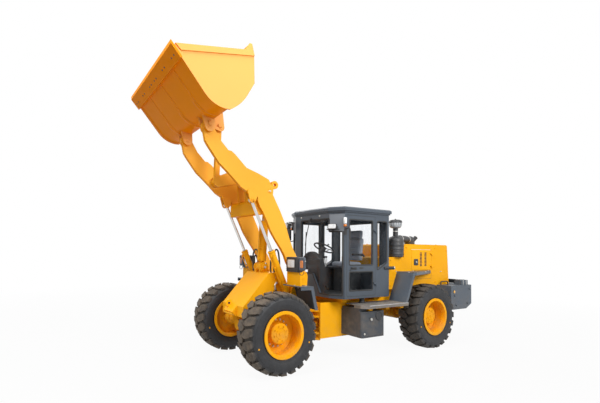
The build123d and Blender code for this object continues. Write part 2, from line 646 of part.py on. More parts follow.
def bucket_profile(inset):
    """Floor, round heel, sloping plate and back in the side view, drawn in by an inset."""
    radius = BUCKET_HEEL_R - inset
    normal = SLOPE_DIR - 90
    back_low = offset_point(BUCKET_BACK_LOW, normal / 2, inset / cos(radians(normal / 2)))
    # the sloping line's distance from the heel's centre, and where it meets the round
    inward = cos(radians(normal)), sin(radians(normal))
    depth = (back_low[0] - BUCKET_HEEL[0]) * inward[0] + (back_low[1] - BUCKET_HEEL[1]) * inward[1]
    foot = offset_point(BUCKET_HEEL, normal, depth)
    bend = offset_point(foot, SLOPE_DIR + 180, (radius**2 - depth**2) ** 0.5)
    bend_dir = degrees(atan2(bend[1] - BUCKET_HEEL[1], bend[0] - BUCKET_HEEL[0]))
    floor_start = heel_point(radius, FLOOR_DIR - 90)
    floor_end = offset_point(floor_start, FLOOR_DIR, BUCKET_FLOOR)
    round_middle = heel_point(radius, (FLOOR_DIR - 90 + bend_dir) / 2)
    back_top = (BUCKET_BACK_TOP[0] + inset, BUCKET_BACK_TOP[1])
    return floor_end, floor_start, round_middle, bend, back_low, back_top


def profile_lines(points):
    """Edges of a bucket profile from the floor's end to the back's top."""
    Line(points[0], points[1])
    ThreePointArc(points[1], points[2], points[3])
    Polyline(points[3], points[4], points[5])


OUTER = bucket_profile(0)
INNER = bucket_profile(BUCKET_PLATE)
FLOOR_END = OUTER[0]
SLOPE = hypot(OUTER[4][0] - OUTER[3][0], OUTER[4][1] - OUTER[3][1])
EDGE_TIP = offset_point(offset_point(FLOOR_END, FLOOR_DIR, EDGE_BEYOND), FLOOR_DIR - 90, EDGE_DROP)
EDGE_REAR = offset_point(EDGE_TIP, FLOOR_DIR, -EDGE_DEPTH)
SIDE_FRONT = offset_point(FLOOR_END, FLOOR_DIR - 90, EDGE_DROP)


def slope_point(share):
    """Middle of the sloping plate's wall, at a share of its length from the heel."""
    return offset_point(offset_point(OUTER[3], SLOPE_DIR, share * SLOPE), SLOPE_DIR - 90, BUCKET_PLATE / 2)


def shell_lug(pin, radius, feet, y_low, y_high, on_round):
    """Lug plate from round a pin to two feet within the shell's wall, on its round or its sloping part."""
    with BuildSketch(side_plane(y_high)) as lug:
        with Locations(pin):
            Circle(radius)
        with Locations(*feet):
            Circle(5)
        make_hull()
        if on_round:
            with Locations(BUCKET_HEEL):
                Circle(BUCKET_HEEL_R - BUCKET_PLATE / 2, mode=Mode.SUBTRACT)
    extrude(lug.sketch, amount=y_high - y_low)


with BuildPart() as bucket_shell:
    # bent floor, heel, sloping plate and back
    with BuildSketch(side_plane(BUCKET_HALF_WIDTH)) as wrap:
        with BuildLine():
            profile_lines(OUTER)
            Line(OUTER[5], INNER[5])
            profile_lines(INNER)
            Line(INNER[0], OUTER[0])
        make_face()
    extrude(wrap.sketch, amount=2 * BUCKET_HALF_WIDTH)
    # side plates, with their upper rim from the cutting edge to the spill guard
    side_r = BUCKET_HEEL_R + RIM_PROUD
    for side in (-1, 1):
        inner_y, outer_y = BUCKET_HALF_WIDTH - BUCKET_PLATE, BUCKET_HALF_WIDTH
        with BuildSketch(side_plane(max(span(side, inner_y, outer_y)))) as wall:
            with BuildLine():
                Polyline(SIDE_FRONT, EDGE_REAR, heel_point(side_r, FLOOR_DIR - 90))
                ThreePointArc(heel_point(side_r, FLOOR_DIR - 90),
                              heel_point(side_r, (FLOOR_DIR - 90 + HEEL_BEND) / 2), heel_point(side_r, HEEL_BEND))
                # the side plates keep their round past the heel, clear of the sloping plate
                ThreePointArc(heel_point(side_r, HEEL_BEND), heel_point(SIDE_ROUND_R + 12, -122),
                              heel_point(SIDE_ROUND_R, SIDE_BEND))
                Polyline(heel_point(SIDE_ROUND_R, SIDE_BEND), SIDE_BACK_LOW, SIDE_BACK_TOP, GUARD_TIP, GUARD_END,
                         RIM_REAR, RIM_FRONT, SIDE_FRONT)
            make_face()
        extrude(wall.sketch, amount=BUCKET_PLATE)
        # thick band along the side's rim
        plate((SIDE_BACK_TOP, (RIM_FRONT[0] - 80, RIM_FRONT[1] - 70), RIM_FRONT, RIM_REAR, GUARD_END, GUARD_TIP),
              *span(side, BUCKET_HALF_WIDTH, BUCKET_HALF_WIDTH + RIM_BAND))
    # spill guard across the top of the back
    guard_top = ((GUARD_TIP[0] + BUCKET_PLATE + 14, GUARD_TIP[1]), (GUARD_TIP[0] + 10, GUARD_TIP[1]))
    plate((OUTER[5], INNER[5], *guard_top),
          BUCKET_PLATE - BUCKET_HALF_WIDTH, BUCKET_HALF_WIDTH - BUCKET_PLATE)
    # doubler under the floor, over the cutting edge
    plate((FLOOR_END, SIDE_FRONT, EDGE_REAR, offset_point(EDGE_REAR, FLOOR_DIR + 90, EDGE_DROP)),
          BUCKET_PLATE - BUCKET_HALF_WIDTH, BUCKET_HALF_WIDTH - BUCKET_PLATE)
    # hinge lugs, in pairs each side of an arm's tip, with the pin between them
    hinge_feet = [heel_point(BUCKET_HEEL_R - BUCKET_PLATE / 2, angle) for angle in (-68, HEEL_BEND + 1)]
    link_feet = [slope_point(0.12), slope_point(0.92)]
    for side in (-1, 1):
        shell_lug(BUCKET_HINGE, 80, hinge_feet, *span(side, ARM_Y - LUG_REACH, ARM_Y - LUG_REACH + LUG), True)
        shell_lug(BUCKET_HINGE, 80, hinge_feet, *span(side, ARM_Y + LUG_REACH - LUG, ARM_Y + LUG_REACH), True)
        cross_bar(BUCKET_HINGE, BUCKET_PIN_R, *span(side, ARM_Y - LUG_REACH - 8, ARM_Y + LUG_REACH + 8))
        shell_lug(BUCKET_LINK_PIN, 68, link_feet, *span(side, LINK_HALF + 12, LINK_HALF + 12 + LINK_LUG), False)
    cross_bar(BUCKET_LINK_PIN, BUCKET_PIN_R, -LINK_HALF - LINK_LUG - 19, LINK_HALF + LINK_LUG + 19)
save(bucket_shell, "bucket_shell")

with BuildPart() as cutting_edge:
    low_rear = offset_point(EDGE_REAR, FLOOR_DIR - 90, EDGE_THICK)
    plate((EDGE_REAR, EDGE_TIP, offset_point(low_rear, FLOOR_DIR, EDGE_DEPTH - EDGE_BEVEL), low_rear),
          -BUCKET_LIP_HALF_WIDTH, BUCKET_LIP_HALF_WIDTH)
save(cutting_edge, "cutting_edge")


# ---------------------------------------------------------------- engine bay
BED_Z = REAR_PAD_Z + 60
ENGINE = ((REAR_AXLE_X - 880, REAR_AXLE_X + 250), (-330, 330), (BED_Z, 1800))
with BuildPart() as engine_block:
    block(*ENGINE)
save(engine_block, "engine_block")

HOOD_DOOR_X = (REAR_AXLE_X - 474, REAR_AXLE_X + 159)
HOOD_DOOR_Z = (1500, 1912)
DOOR_GAP = 5
HINGE_R = 14
HINGE_PIN_R = 7
HINGE_LENGTH = 30
HINGE_OUT = 15                       # hinge axis stands this far outside the skin


def hinge_fixed(x, y_skin, side, z):
    """Body half of a hinge: a knuckle with its pin, on a short arm from the skin behind the pin."""
    y = y_skin + side * HINGE_OUT
    block((x - 34, x), sorted((y_skin, y)), (z, z + HINGE_LENGTH))
    post(x, y, HINGE_R, z, z + HINGE_LENGTH)
    post(x, y, HINGE_PIN_R, z + HINGE_LENGTH, z + 2 * HINGE_LENGTH + 4)


def hinge_moving(x, y_skin, side, z, door_x):
    """Door half of a hinge: a knuckle bored for the pin, on a pad that stands on the leaf."""
    y = y_skin + side * HINGE_OUT
    low = z + HINGE_LENGTH + 1
    block((x, door_x + 45), sorted((y - side * 10, y + side * 6)), (low, low + HINGE_LENGTH))
    block((door_x + 10, door_x + 45), sorted((y_skin, y)), (low, low + HINGE_LENGTH))
    post(x, y, HINGE_R, low, low + HINGE_LENGTH)
    post(x, y, HINGE_PIN_R + PIN_GAP, low, low + HINGE_LENGTH, mode=Mode.SUBTRACT)


HOOD_HINGE_X = HOOD_DOOR_X[0] - DOOR_GAP - 4
HOOD_HINGE_Z = (1540, 1800)
HOOD_REAR_OVER = WEIGHT_FRONT_X + 20
HOOD_FEET_X = (HOOD_FRONT_X - 170, REAR_AXLE_X + 300, REAR_AXLE_X - 400)
hood_outline = (
    (HOOD_FRONT_X, HOOD_BOTTOM_Z),
    (HOOD_FRONT_X, HOOD_STEP_Z - 20),
    (HOOD_FRONT_X - 20, HOOD_STEP_Z),
    (HOOD_STEP_X, HOOD_STEP_Z),
    (HOOD_STEP_X, HOOD_TOP_Z - 25),
    (HOOD_STEP_X - 25, HOOD_TOP_Z),
    (HOOD_REAR_TOP_X + 25, HOOD_TOP_Z),
    (HOOD_REAR_TOP_X, HOOD_TOP_Z - 25),
    (HOOD_REAR_LOW_X, WEIGHT_TOP_Z),
    (HOOD_REAR_OVER, WEIGHT_TOP_Z),
    (HOOD_REAR_OVER, HOOD_BOTTOM_Z),
)
hood_inside = (
    (HOOD_FRONT_X - HOOD_SHEET, HOOD_BOTTOM_Z - 1),
    (HOOD_FRONT_X - HOOD_SHEET, HOOD_STEP_Z - HOOD_SHEET),
    (HOOD_STEP_X - HOOD_SHEET, HOOD_STEP_Z - HOOD_SHEET),
    (HOOD_STEP_X - HOOD_SHEET, HOOD_TOP_Z - HOOD_SHEET),
    (HOOD_REAR_TOP_X - 60, HOOD_TOP_Z - HOOD_SHEET),
    (HOOD_REAR_LOW_X - 60, HOOD_BOTTOM_Z - 1),
)
with BuildPart() as hood:
    plate(hood_outline, -HOOD_HALF_WIDTH, HOOD_HALF_WIDTH)
    long_edges = hood.edges().filter_by(Axis.Y).group_by(Axis.Z)[-1]
    fillet(long_edges, radius=12)
    plate(hood_inside, -HOOD_HALF_WIDTH + HOOD_SHEET, HOOD_HALF_WIDTH - HOOD_SHEET, mode=Mode.SUBTRACT)
    for side in (-1, 1):
        skin = span(side, HOOD_HALF_WIDTH - HOOD_SHEET, HOOD_HALF_WIDTH)
        block((HOOD_DOOR_X[0] - DOOR_GAP, HOOD_DOOR_X[1] + DOOR_GAP), skin,
              (HOOD_DOOR_Z[0] - DOOR_GAP, HOOD_DOOR_Z[1] + DOOR_GAP), mode=Mode.SUBTRACT)
        for hinge_z in HOOD_HINGE_Z:
            hinge_fixed(HOOD_HINGE_X, side * HOOD_HALF_WIDTH, side, hinge_z)
        # foot rails that carry the hood on the frame
        for foot_x in HOOD_FEET_X:
            block((foot_x - 40, foot_x + 40), span(side, WALL_INNER, HOOD_HALF_WIDTH - HOOD_SHEET),
                  (HOOD_BOTTOM_Z - 10, HOOD_BOTTOM_Z + 10))
save(hood, "hood")

for side_name, side in (("left", 1), ("right", -1)):
    with BuildPart() as hood_door:
        block(HOOD_DOOR_X, span(side, HOOD_HALF_WIDTH - HOOD_SHEET, HOOD_HALF_WIDTH), HOOD_DOOR_Z)
        for hinge_z in HOOD_HINGE_Z:
            hinge_moving(HOOD_HINGE_X, side * HOOD_HALF_WIDTH, side, hinge_z, HOOD_DOOR_X[0])
    save(hood_door, f"hood_door_{side_name}")

GRILLE_SLOTS = 7
with BuildPart() as radiator_grille:
    grille_top_z = HOOD_TOP_Z - HOOD_SHEET - SEAT_GAP
    lean = (HOOD_REAR_LOW_X - HOOD_REAR_TOP_X) / (HOOD_TOP_Z - WEIGHT_TOP_Z)
    top_x = HOOD_REAR_TOP_X + 8
    low_x = top_x + lean * (grille_top_z - WEIGHT_TOP_Z)
    plate(((top_x, grille_top_z), (low_x, WEIGHT_TOP_Z), (low_x + 45, WEIGHT_TOP_Z), (top_x + 45, grille_top_z)),
          -HOOD_HALF_WIDTH + HOOD_SHEET, HOOD_HALF_WIDTH - HOOD_SHEET)
    pitch = (grille_top_z - WEIGHT_TOP_Z - 120) / GRILLE_SLOTS
    for index in range(GRILLE_SLOTS):
        slot_z = WEIGHT_TOP_Z + 60 + pitch * (index + 0.5)
        block((HOOD_REAR_LOW_X - 80, HOOD_REAR_TOP_X + 80), (-HOOD_HALF_WIDTH + 80, HOOD_HALF_WIDTH - 80),
              (slot_z - pitch * 0.32, slot_z + pitch * 0.32), mode=Mode.SUBTRACT)
save(radiator_grille, "radiator_grille")

TOW_X = WEIGHT_REAR_X + 55
TOW_BORE_R = 22
TOW_POCKET_Z = (850, 950)
with BuildPart() as counterweight:
    plate(
        (
            (WEIGHT_FRONT_X, WEIGHT_BOTTOM_Z),
            (WEIGHT_FRONT_X, WEIGHT_TOP_Z),
            (WEIGHT_REAR_X, WEIGHT_TOP_Z),
            (WEIGHT_REAR_X, WEIGHT_BOTTOM_Z + 120),
            (WEIGHT_REAR_X + 240, WEIGHT_BOTTOM_Z),
        ),
        -WEIGHT_HALF_WIDTH, WEIGHT_HALF_WIDTH,
    )
    upright = counterweight.edges().filter_by(Axis.Z).group_by(Axis.X)[0]
    fillet(upright, radius=60)
    # slot for the frame's tail
    block((FRAME_REAR_X, WEIGHT_FRONT_X), (-REAR_FRAME_HALF, REAR_FRAME_HALF), (WEIGHT_BOTTOM_Z, WEIGHT_TOP_Z),
          mode=Mode.SUBTRACT)
    # towing pocket and its pin hole
    block((WEIGHT_REAR_X, WEIGHT_REAR_X + 110), (-70, 70), TOW_POCKET_Z, mode=Mode.SUBTRACT)
    post(TOW_X, 0, TOW_BORE_R, WEIGHT_BOTTOM_Z, WEIGHT_TOP_Z, mode=Mode.SUBTRACT)
save(counterweight, "counterweight")

BATTERY = ((WEIGHT_FRONT_X - 680, WEIGHT_FRONT_X - 450), (700, 850), (WEIGHT_TOP_Z, 1270))
with BuildPart() as battery_boxes:
    for side in (-1, 1):
        block(BATTERY[0], span(side, *BATTERY[1]), BATTERY[2])
    lid_edges = battery_boxes.edges().group_by(Axis.Z)[-1]
    fillet(lid_edges, radius=12)
save(battery_boxes, "battery_boxes")

AIR_X = HOOD_FRONT_X - 290
AIR_Y = 550
AIR_R = 150
DUCT_X = REAR_AXLE_X - 130
DUCT_Y = 330
DUCT_Z = 2125
DUCT_R = 70
with BuildPart() as air_cleaner:
    post(AIR_X, AIR_Y, AIR_R, HOOD_STEP_Z, 2130)
    post(AIR_X, AIR_Y, 100, 2130, 2235)
    post(AIR_X, AIR_Y, 45, 2185, 2330)
    post(AIR_X, AIR_Y, 112, 2330, 2480)
    rims = air_cleaner.edges().filter_by(GeomType.CIRCLE).group_by(Axis.Z)
    fillet(rims[-1], radius=30)
    # duct to the engine: level to an elbow, then down through the hood
    duct_run = Vector(DUCT_X - AIR_X, DUCT_Y - AIR_Y, 0)
    with BuildSketch(Plane(origin=(AIR_X, AIR_Y, DUCT_Z), x_dir=(0, 0, 1), z_dir=duct_run)):
        Circle(DUCT_R)
    extrude(amount=duct_run.length)
    with Locations((DUCT_X, DUCT_Y, DUCT_Z)):
        Sphere(DUCT_R)
    post(DUCT_X, DUCT_Y, DUCT_R, HOOD_TOP_Z, DUCT_Z)
save(air_cleaner, "air_cleaner")

PIPE_X = REAR_AXLE_X - 290
PIPE_Y = 300
PIPE_R = 40
PIPE_WALL = 5
PIPE_TOP_Z = 2095
PIPE_REACH = 130
PIPE_AIM = (-0.8, 0, 0.6)
with BuildPart() as exhaust_pipe:
    post(PIPE_X, PIPE_Y, PIPE_R + 20, HOOD_TOP_Z, HOOD_TOP_Z + 14)
    post(PIPE_X, PIPE_Y, PIPE_R, HOOD_TOP_Z, PIPE_TOP_Z)
    with Locations((PIPE_X, PIPE_Y, PIPE_TOP_Z)):
        Sphere(PIPE_R)
    stub = Plane(origin=(PIPE_X, PIPE_Y, PIPE_TOP_Z), x_dir=(0, 1, 0), z_dir=PIPE_AIM)
    with BuildSketch(stub):
        Circle(PIPE_R)
    extrude(amount=PIPE_REACH)
    with BuildSketch(stub.offset(20)):
        Circle(PIPE_R - PIPE_WALL)
    extrude(amount=PIPE_REACH - 20, mode=Mode.SUBTRACT)
save(exhaust_pipe, "exhaust_pipe")


# ---------------------------------------------------------------- fenders, steps and tanks
FENDER_SHEET = 12
FENDER_Y = (REAR_FRAME_HALF + 155, 970)
FENDER_SLOPE = ((STEP_REAR_X + 50, STEP_Z[1]), (STEP_REAR_X - 180, 1470))
FENDER_FLANGE = 45
FENDER_END_X = REAR_AXLE_X - 436
# plan outline, as x and the share of the fender's reach from the hood
FENDER_TOP = (
    (STEP_REAR_X - 172, 0), (STEP_REAR_X - 172, 1), (STEP_REAR_X - 254, 1), (FENDER_END_X, 0.04), (FENDER_END_X, 0),
)
FENDER_REACH = FENDER_Y[1] - FENDER_Y[0]
with BuildPart() as rear_fenders:
    for side in (-1, 1):
        # sloping front plate, with its outer edge turned back
        low, high = FENDER_SLOPE
        for depth, y_span in ((FENDER_SHEET, FENDER_Y), (FENDER_FLANGE, (FENDER_Y[1] - FENDER_SHEET, FENDER_Y[1]))):
            if depth == FENDER_SHEET:
                leaf = (low, high, (high[0] + depth, high[1]), (low[0] + depth, low[1]))
            else:
                leaf = ((low[0] - depth, low[1]), (high[0] - depth, high[1]), high, low)
            plate(leaf, *span(side, *y_span))
        # top plate, which narrows towards the rear, with its slanting edge turned down
        top = [(x, side * (FENDER_Y[0] + share * FENDER_REACH)) for x, share in FENDER_TOP]
        sheet(top, high[1], high[1] + FENDER_SHEET)
        edge = [top[1], top[2], top[3], (top[3][0], top[3][1] - side * 10), (top[2][0] + 8, top[2][1] - side * 14),
                (top[1][0], top[1][1] - side * 14)]
        sheet(edge, high[1] - FENDER_FLANGE, high[1])
save(rear_fenders, "rear_fenders")

STEP_FRONT_X = -85
STEP_OUTLINE = ((STEP_REAR_X, 0), (STEP_REAR_X, 235), (STEP_FRONT_X - 115, 235), (STEP_FRONT_X, 150), (STEP_FRONT_X, 0))
STEP_INNER = 690
with BuildPart() as platforms:
    for side in (-1, 1):
        rim = [(x, side * (STEP_INNER + 55 + y)) for x, y in STEP_OUTLINE]
        sheet(rim, STEP_Z[1] - 12, STEP_Z[1])
        inner_edge = [(STEP_REAR_X, side * 560), (STEP_FRONT_X, side * 560), (STEP_FRONT_X, side * (STEP_INNER + 55)),
                      (STEP_REAR_X, side * (STEP_INNER + 55))]
        sheet(inner_edge, STEP_Z[1] - 12, STEP_Z[1])
        # turned-down front and outer edge
        skirt_outer = [(x, side * (STEP_INNER + 55 + y)) for x, y in STEP_OUTLINE[1:]]
        skirt = ((STEP_FRONT_X - 12, 0), (STEP_FRONT_X - 12, 144), (STEP_FRONT_X - 119, 223), (STEP_REAR_X, 223))
        skirt_inner = [(x, side * (STEP_INNER + 55 + y)) for x, y in skirt]
        sheet(skirt_outer + skirt_inner, STEP_Z[0], STEP_Z[1] - 12)
save(platforms, "platforms")

TANK_X = (-656, -85)
TANK_Y = (REAR_FRAME_HALF, 920)
TANK_Z = (380, STEP_Z[0] - 55)
TANK_NECK_X = STEP_BEAMS[2] + 60      # the tank rises to the step ahead of the step's first beam
with BuildPart() as side_tanks:
    for side in (-1, 1):
        outline = (
            (TANK_X[0], side * TANK_Y[0]),
            (TANK_X[1], side * TANK_Y[0]),
            (TANK_X[1], side * TANK_Y[1]),
            (TANK_X[0], side * TANK_Y[1]),
        )
        sheet(outline, *TANK_Z)
    corners = side_tanks.edges().filter_by(Axis.Z)
    fillet(corners.filter_by(lambda e: abs(e.center().Y) > TANK_Y[0] + 100), radius=45)
    for side in (-1, 1):
        block((TANK_NECK_X, TANK_X[1]), span(side, TANK_Y[0] + 30, TANK_Y[1] - 60), (TANK_Z[1], STEP_Z[0]))
save(side_tanks, "side_tanks")


# ---------------------------------------------------------------- cab
CAB_PLAN = (
    (CAB_REAR_X, -CAB_HALF_WIDTH), (CAB_SIDE_FRONT_X, -CAB_HALF_WIDTH), (CAB_FRONT_X, -CAB_FRONT_HALF),
    (CAB_FRONT_X, CAB_FRONT_HALF), (CAB_SIDE_FRONT_X, CAB_HALF_WIDTH), (CAB_REAR_X, CAB_HALF_WIDTH),
)


def inset_plan(gap):
    """Cab plan drawn in by a gap on every side."""
    run = CAB_FRONT_X - CAB_SIDE_FRONT_X
    rise = CAB_HALF_WIDTH - CAB_FRONT_HALF
    slant = hypot(run, rise)
    side_x = CAB_SIDE_FRONT_X - gap * (slant - run) / rise
    front_y = CAB_FRONT_HALF - gap * (slant - rise) / run
    half = [
        (CAB_FRONT_X - gap, front_y),
        (side_x, CAB_HALF_WIDTH - gap),
        (CAB_REAR_X + gap, CAB_HALF_WIDTH - gap),
    ]
    return [(x, -y) for x, y in reversed(half)] + half


FACET = Plane(
    origin=((CAB_FRONT_X + CAB_SIDE_FRONT_X) / 2, (CAB_FRONT_HALF + CAB_HALF_WIDTH) / 2, 0),
    x_dir=(CAB_SIDE_FRONT_X - CAB_FRONT_X, CAB_HALF_WIDTH - CAB_FRONT_HALF, 0),
    z_dir=(CAB_HALF_WIDTH - CAB_FRONT_HALF, CAB_FRONT_X - CAB_SIDE_FRONT_X, 0),
)
FACET_HALF = hypot(CAB_FRONT_X - CAB_SIDE_FRONT_X, CAB_HALF_WIDTH - CAB_FRONT_HALF) / 2
POST = 62
FACET_SILL_Z = CAB_SILL_Z + 62
FACET_HEAD_Z = 2206
CORNER_POST = 36                     # slim post between the left corner window and the door
WINDSHIELD_HEAD_Z = 2440
# windshield outline (y, z) up to the left front corner, where it goes on round the slanted corner
WINDSHIELD = ((-300, WINDSHIELD_HEAD_Z), (-300, 1450), (30, 1435), (225, FACET_SILL_Z))
DOOR_X = (-640, 64)
DOOR_Z = (CAB_SILL_Z + 45, 2490)
DOOR_THICK = 40
SIDE_PANE = ((-695, 1520), (-695, 2420), (-960, 2420), (-960, 1660))
REAR_PANE = (540, 1560, 2420)
PANE = 6
PANE_IN = 18                         # panes stand this far inside the outer skin
CAB_HINGE_X = DOOR_X[0] - DOOR_GAP - 4
CAB_HINGE_Z = (1240, 2200)


def front_plane(x):
    """Upright plane across the machine, facing forward, with sketch x along +Y."""
    return Plane(origin=(x, 0, 0), x_dir=(0, 1, 0), z_dir=(1, 0, 0))


def across(points, x_low, x_high, mode=Mode.ADD):
    """Plate of a front-view outline (y, z), between two x values."""
    with BuildSketch(front_plane(x_low)) as outline:
        with BuildLine():
            Polyline(*points, close=True)
        make_face()
    extrude(outline.sketch, amount=x_high - x_low, mode=mode)


def rectangle_points(left, right, low, high):
    """Corners of an upright rectangle."""
    return ((left, low), (right, low), (right, high), (left, high))


def facet_plate(side, inner, outer, window, mode):
    """Plate across a slanted front corner of the cab, between two depths from its skin. The window's ends are measured
    from the corner's middle towards the door."""
    normal = FACET.z_dir
    origin = FACET.origin + normal * inner
    plane = Plane(
        origin=(origin.X, side * origin.Y, 0),
        x_dir=(0, 0, 1),
        z_dir=(normal.X, side * normal.Y, 0),
    )
    low, high, bottom, top = window
    with BuildSketch(plane) as outline:
        with Locations(((bottom + top) / 2, -side * (low + high) / 2)):
            Rectangle(top - bottom, high - low)
    extrude(outline.sketch, amount=outer - inner, mode=mode)


FACET_WINDOWS = {
    1: (-FACET_HALF - 40, FACET_HALF - CORNER_POST, FACET_SILL_Z, FACET_HEAD_Z),
    -1: (-FACET_HALF + POST, FACET_HALF - POST, FACET_SILL_Z, FACET_HEAD_Z),
}
with BuildPart() as cab_shell:
    sheet(CAB_PLAN, CAB_SILL_Z, CAB_TOP_Z)
    sheet(inset_plan(CAB_WALL), CAB_SILL_Z, CAB_TOP_Z, mode=Mode.SUBTRACT)
    windshield = WINDSHIELD + ((CAB_FRONT_HALF, FACET_SILL_Z), (CAB_FRONT_HALF, WINDSHIELD_HEAD_Z))
    across(windshield, CAB_FRONT_X - CAB_WALL - 5, CAB_FRONT_X, mode=Mode.SUBTRACT)
    across(rectangle_points(-REAR_PANE[0], REAR_PANE[0], REAR_PANE[1], REAR_PANE[2]), CAB_REAR_X,
           CAB_REAR_X + CAB_WALL, mode=Mode.SUBTRACT)
    for side in (-1, 1):
        wall = span(side, CAB_HALF_WIDTH - CAB_WALL, CAB_HALF_WIDTH)
        block((DOOR_X[0] - DOOR_GAP, DOOR_X[1] + DOOR_GAP), wall, (DOOR_Z[0] - DOOR_GAP, DOOR_Z[1] + DOOR_GAP),
              mode=Mode.SUBTRACT)
        plate(SIDE_PANE, *wall, mode=Mode.SUBTRACT)
        facet_plate(side, -CAB_WALL - 20, 5, FACET_WINDOWS[side], Mode.SUBTRACT)
        for hinge_z in CAB_HINGE_Z:
            hinge_fixed(CAB_HINGE_X, side * CAB_HALF_WIDTH, side, hinge_z)
save(cab_shell, "cab_shell")

CAB_FLOOR_THICK = 35
with BuildPart() as cab_floor:
    sheet(inset_plan(CAB_WALL), CAB_SILL_Z, CAB_SILL_Z + CAB_FLOOR_THICK)
save(cab_floor, "cab_floor")

ROOF_LIP = 25
with BuildPart() as cab_roof:
    sheet(inset_plan(-ROOF_OVERHANG), CAB_TOP_Z + ROOF_LIP, ROOF_TOP_Z)
    chamfer(cab_roof.edges().group_by(Axis.Z)[-1], length=22)
    sheet(inset_plan(-ROOF_OVERHANG / 2), CAB_TOP_Z, CAB_TOP_Z + ROOF_LIP)
save(cab_roof, "cab_roof")

with BuildPart() as cab_glass:
    gap = SEAT_GAP
    # one pane bent round the left corner: a strip of the cab's plan, cut to the opening as seen from the front
    sheet(inset_plan(PANE_IN), FACET_SILL_Z + gap, WINDSHIELD_HEAD_Z - gap)
    sheet(inset_plan(PANE_IN + PANE), FACET_SILL_Z + gap, WINDSHIELD_HEAD_Z - gap, mode=Mode.SUBTRACT)
    (left, head), _, (middle, knee), (foot, sill) = WINDSHIELD
    post_y = CAB_HALF_WIDTH - (CORNER_POST + 10) * (CAB_HALF_WIDTH - CAB_FRONT_HALF) / (2 * FACET_HALF) - 10
    across(((left + gap, head - gap), (left + gap, WINDSHIELD[1][1] + gap), (middle + gap, knee + gap),
            (foot + gap, sill + gap), (post_y, sill + gap), (post_y, FACET_HEAD_Z - gap),
            (CAB_FRONT_HALF - 6, FACET_HEAD_Z - gap), (CAB_FRONT_HALF - 6, head - gap)),
           0, CAB_FRONT_X, mode=Mode.INTERSECT)
    across(rectangle_points(-REAR_PANE[0] + gap, REAR_PANE[0] - gap, REAR_PANE[1] + gap, REAR_PANE[2] - gap),
           CAB_REAR_X + PANE_IN, CAB_REAR_X + PANE_IN + PANE)
    for side in (-1, 1):
        plate(SIDE_PANE, *span(side, CAB_HALF_WIDTH - PANE_IN - PANE, CAB_HALF_WIDTH - PANE_IN))
    low, high, bottom, top = FACET_WINDOWS[-1]
    facet_plate(-1, -PANE_IN - PANE, -PANE_IN, (low + gap, high - gap, bottom + gap, top - gap), Mode.ADD)
save(cab_glass, "cab_glass")

DOOR_STILE = 58
DOOR_WINDOWS = (
    # sill and head of each window
    (1170, 1500),
    (1620, 2420),
)
for side_name, side in (("left", 1), ("right", -1)):
    leaf = span(side, CAB_HALF_WIDTH - DOOR_THICK, CAB_HALF_WIDTH)
    window_x = (DOOR_X[0] + DOOR_STILE, DOOR_X[1] - DOOR_STILE)
    with BuildPart() as door:
        block(DOOR_X, leaf, DOOR_Z)
        for low, high in DOOR_WINDOWS:
            block(window_x, leaf, (low, high), mode=Mode.SUBTRACT)
        for hinge_z in CAB_HINGE_Z:
            hinge_moving(CAB_HINGE_X, side * CAB_HALF_WIDTH, side, hinge_z, DOOR_X[0])
    save(door, f"door_{side_name}")
    with BuildPart() as door_glass:
        for low, high in DOOR_WINDOWS:
            block((window_x[0] + SEAT_GAP, window_x[1] - SEAT_GAP),
                  span(side, CAB_HALF_WIDTH - PANE_IN - PANE, CAB_HALF_WIDTH - PANE_IN),
                  (low + SEAT_GAP, high - SEAT_GAP))
    save(door_glass, f"door_glass_{side_name}")

FLOOR_Z = CAB_SILL_Z + CAB_FLOOR_THICK
SEAT_X = (-900, -430)
SEAT_Z = 1540
SEAT_CUSHION = 110
SEAT_BACK_Z = SEAT_Z + SEAT_CUSHION + 2 * SEAT_GAP
with BuildPart() as seat_base:
    block((-850, -500), (-190, 190), (FLOOR_Z, SEAT_Z - 30))
    block((SEAT_X[0] + 20, SEAT_X[1] - 30), (-230, 230), (SEAT_Z - 30, SEAT_Z))
save(seat_base, "seat_base")

with BuildPart() as seat_cushions:
    block(SEAT_X, (-250, 250), (SEAT_Z + SEAT_GAP, SEAT_Z + SEAT_CUSHION + SEAT_GAP))
    fillet(seat_cushions.edges(), radius=30)
    plate(((-800, SEAT_BACK_Z), (-890, SEAT_BACK_Z), (-950, 2110), (-950, 2290), (-870, 2290), (-860, 2110)),
          -230, 230)
save(seat_cushions, "seat_cushions")

WHEEL_CENTRE = (-66, 1920)
WHEEL_TILT = 28
STEERING_R = 205
with BuildPart() as console:
    plate(((60, FLOOR_Z), (60, 1600), (150, 1720), (185, 1700), (185, FLOOR_Z)), -170, 170)
    plate(((-60, FLOOR_Z), (-60, 1500), (60, 1600), (60, FLOOR_Z)), -75, 75)
    with BuildSketch(Plane(origin=(WHEEL_CENTRE[0], 0, WHEEL_CENTRE[1]), x_dir=(0, 1, 0),
                           z_dir=(sin(radians(WHEEL_TILT)), 0, -cos(radians(WHEEL_TILT)))).offset(46)):
        Circle(38)
    extrude(amount=420)
    # side stand with the lever bank, right of the seat
    block((-760, -300), (-470, -290), (FLOOR_Z, 1500))
    block((-720, -340), (-455, -305), (1500, 1540))
save(console, "console")

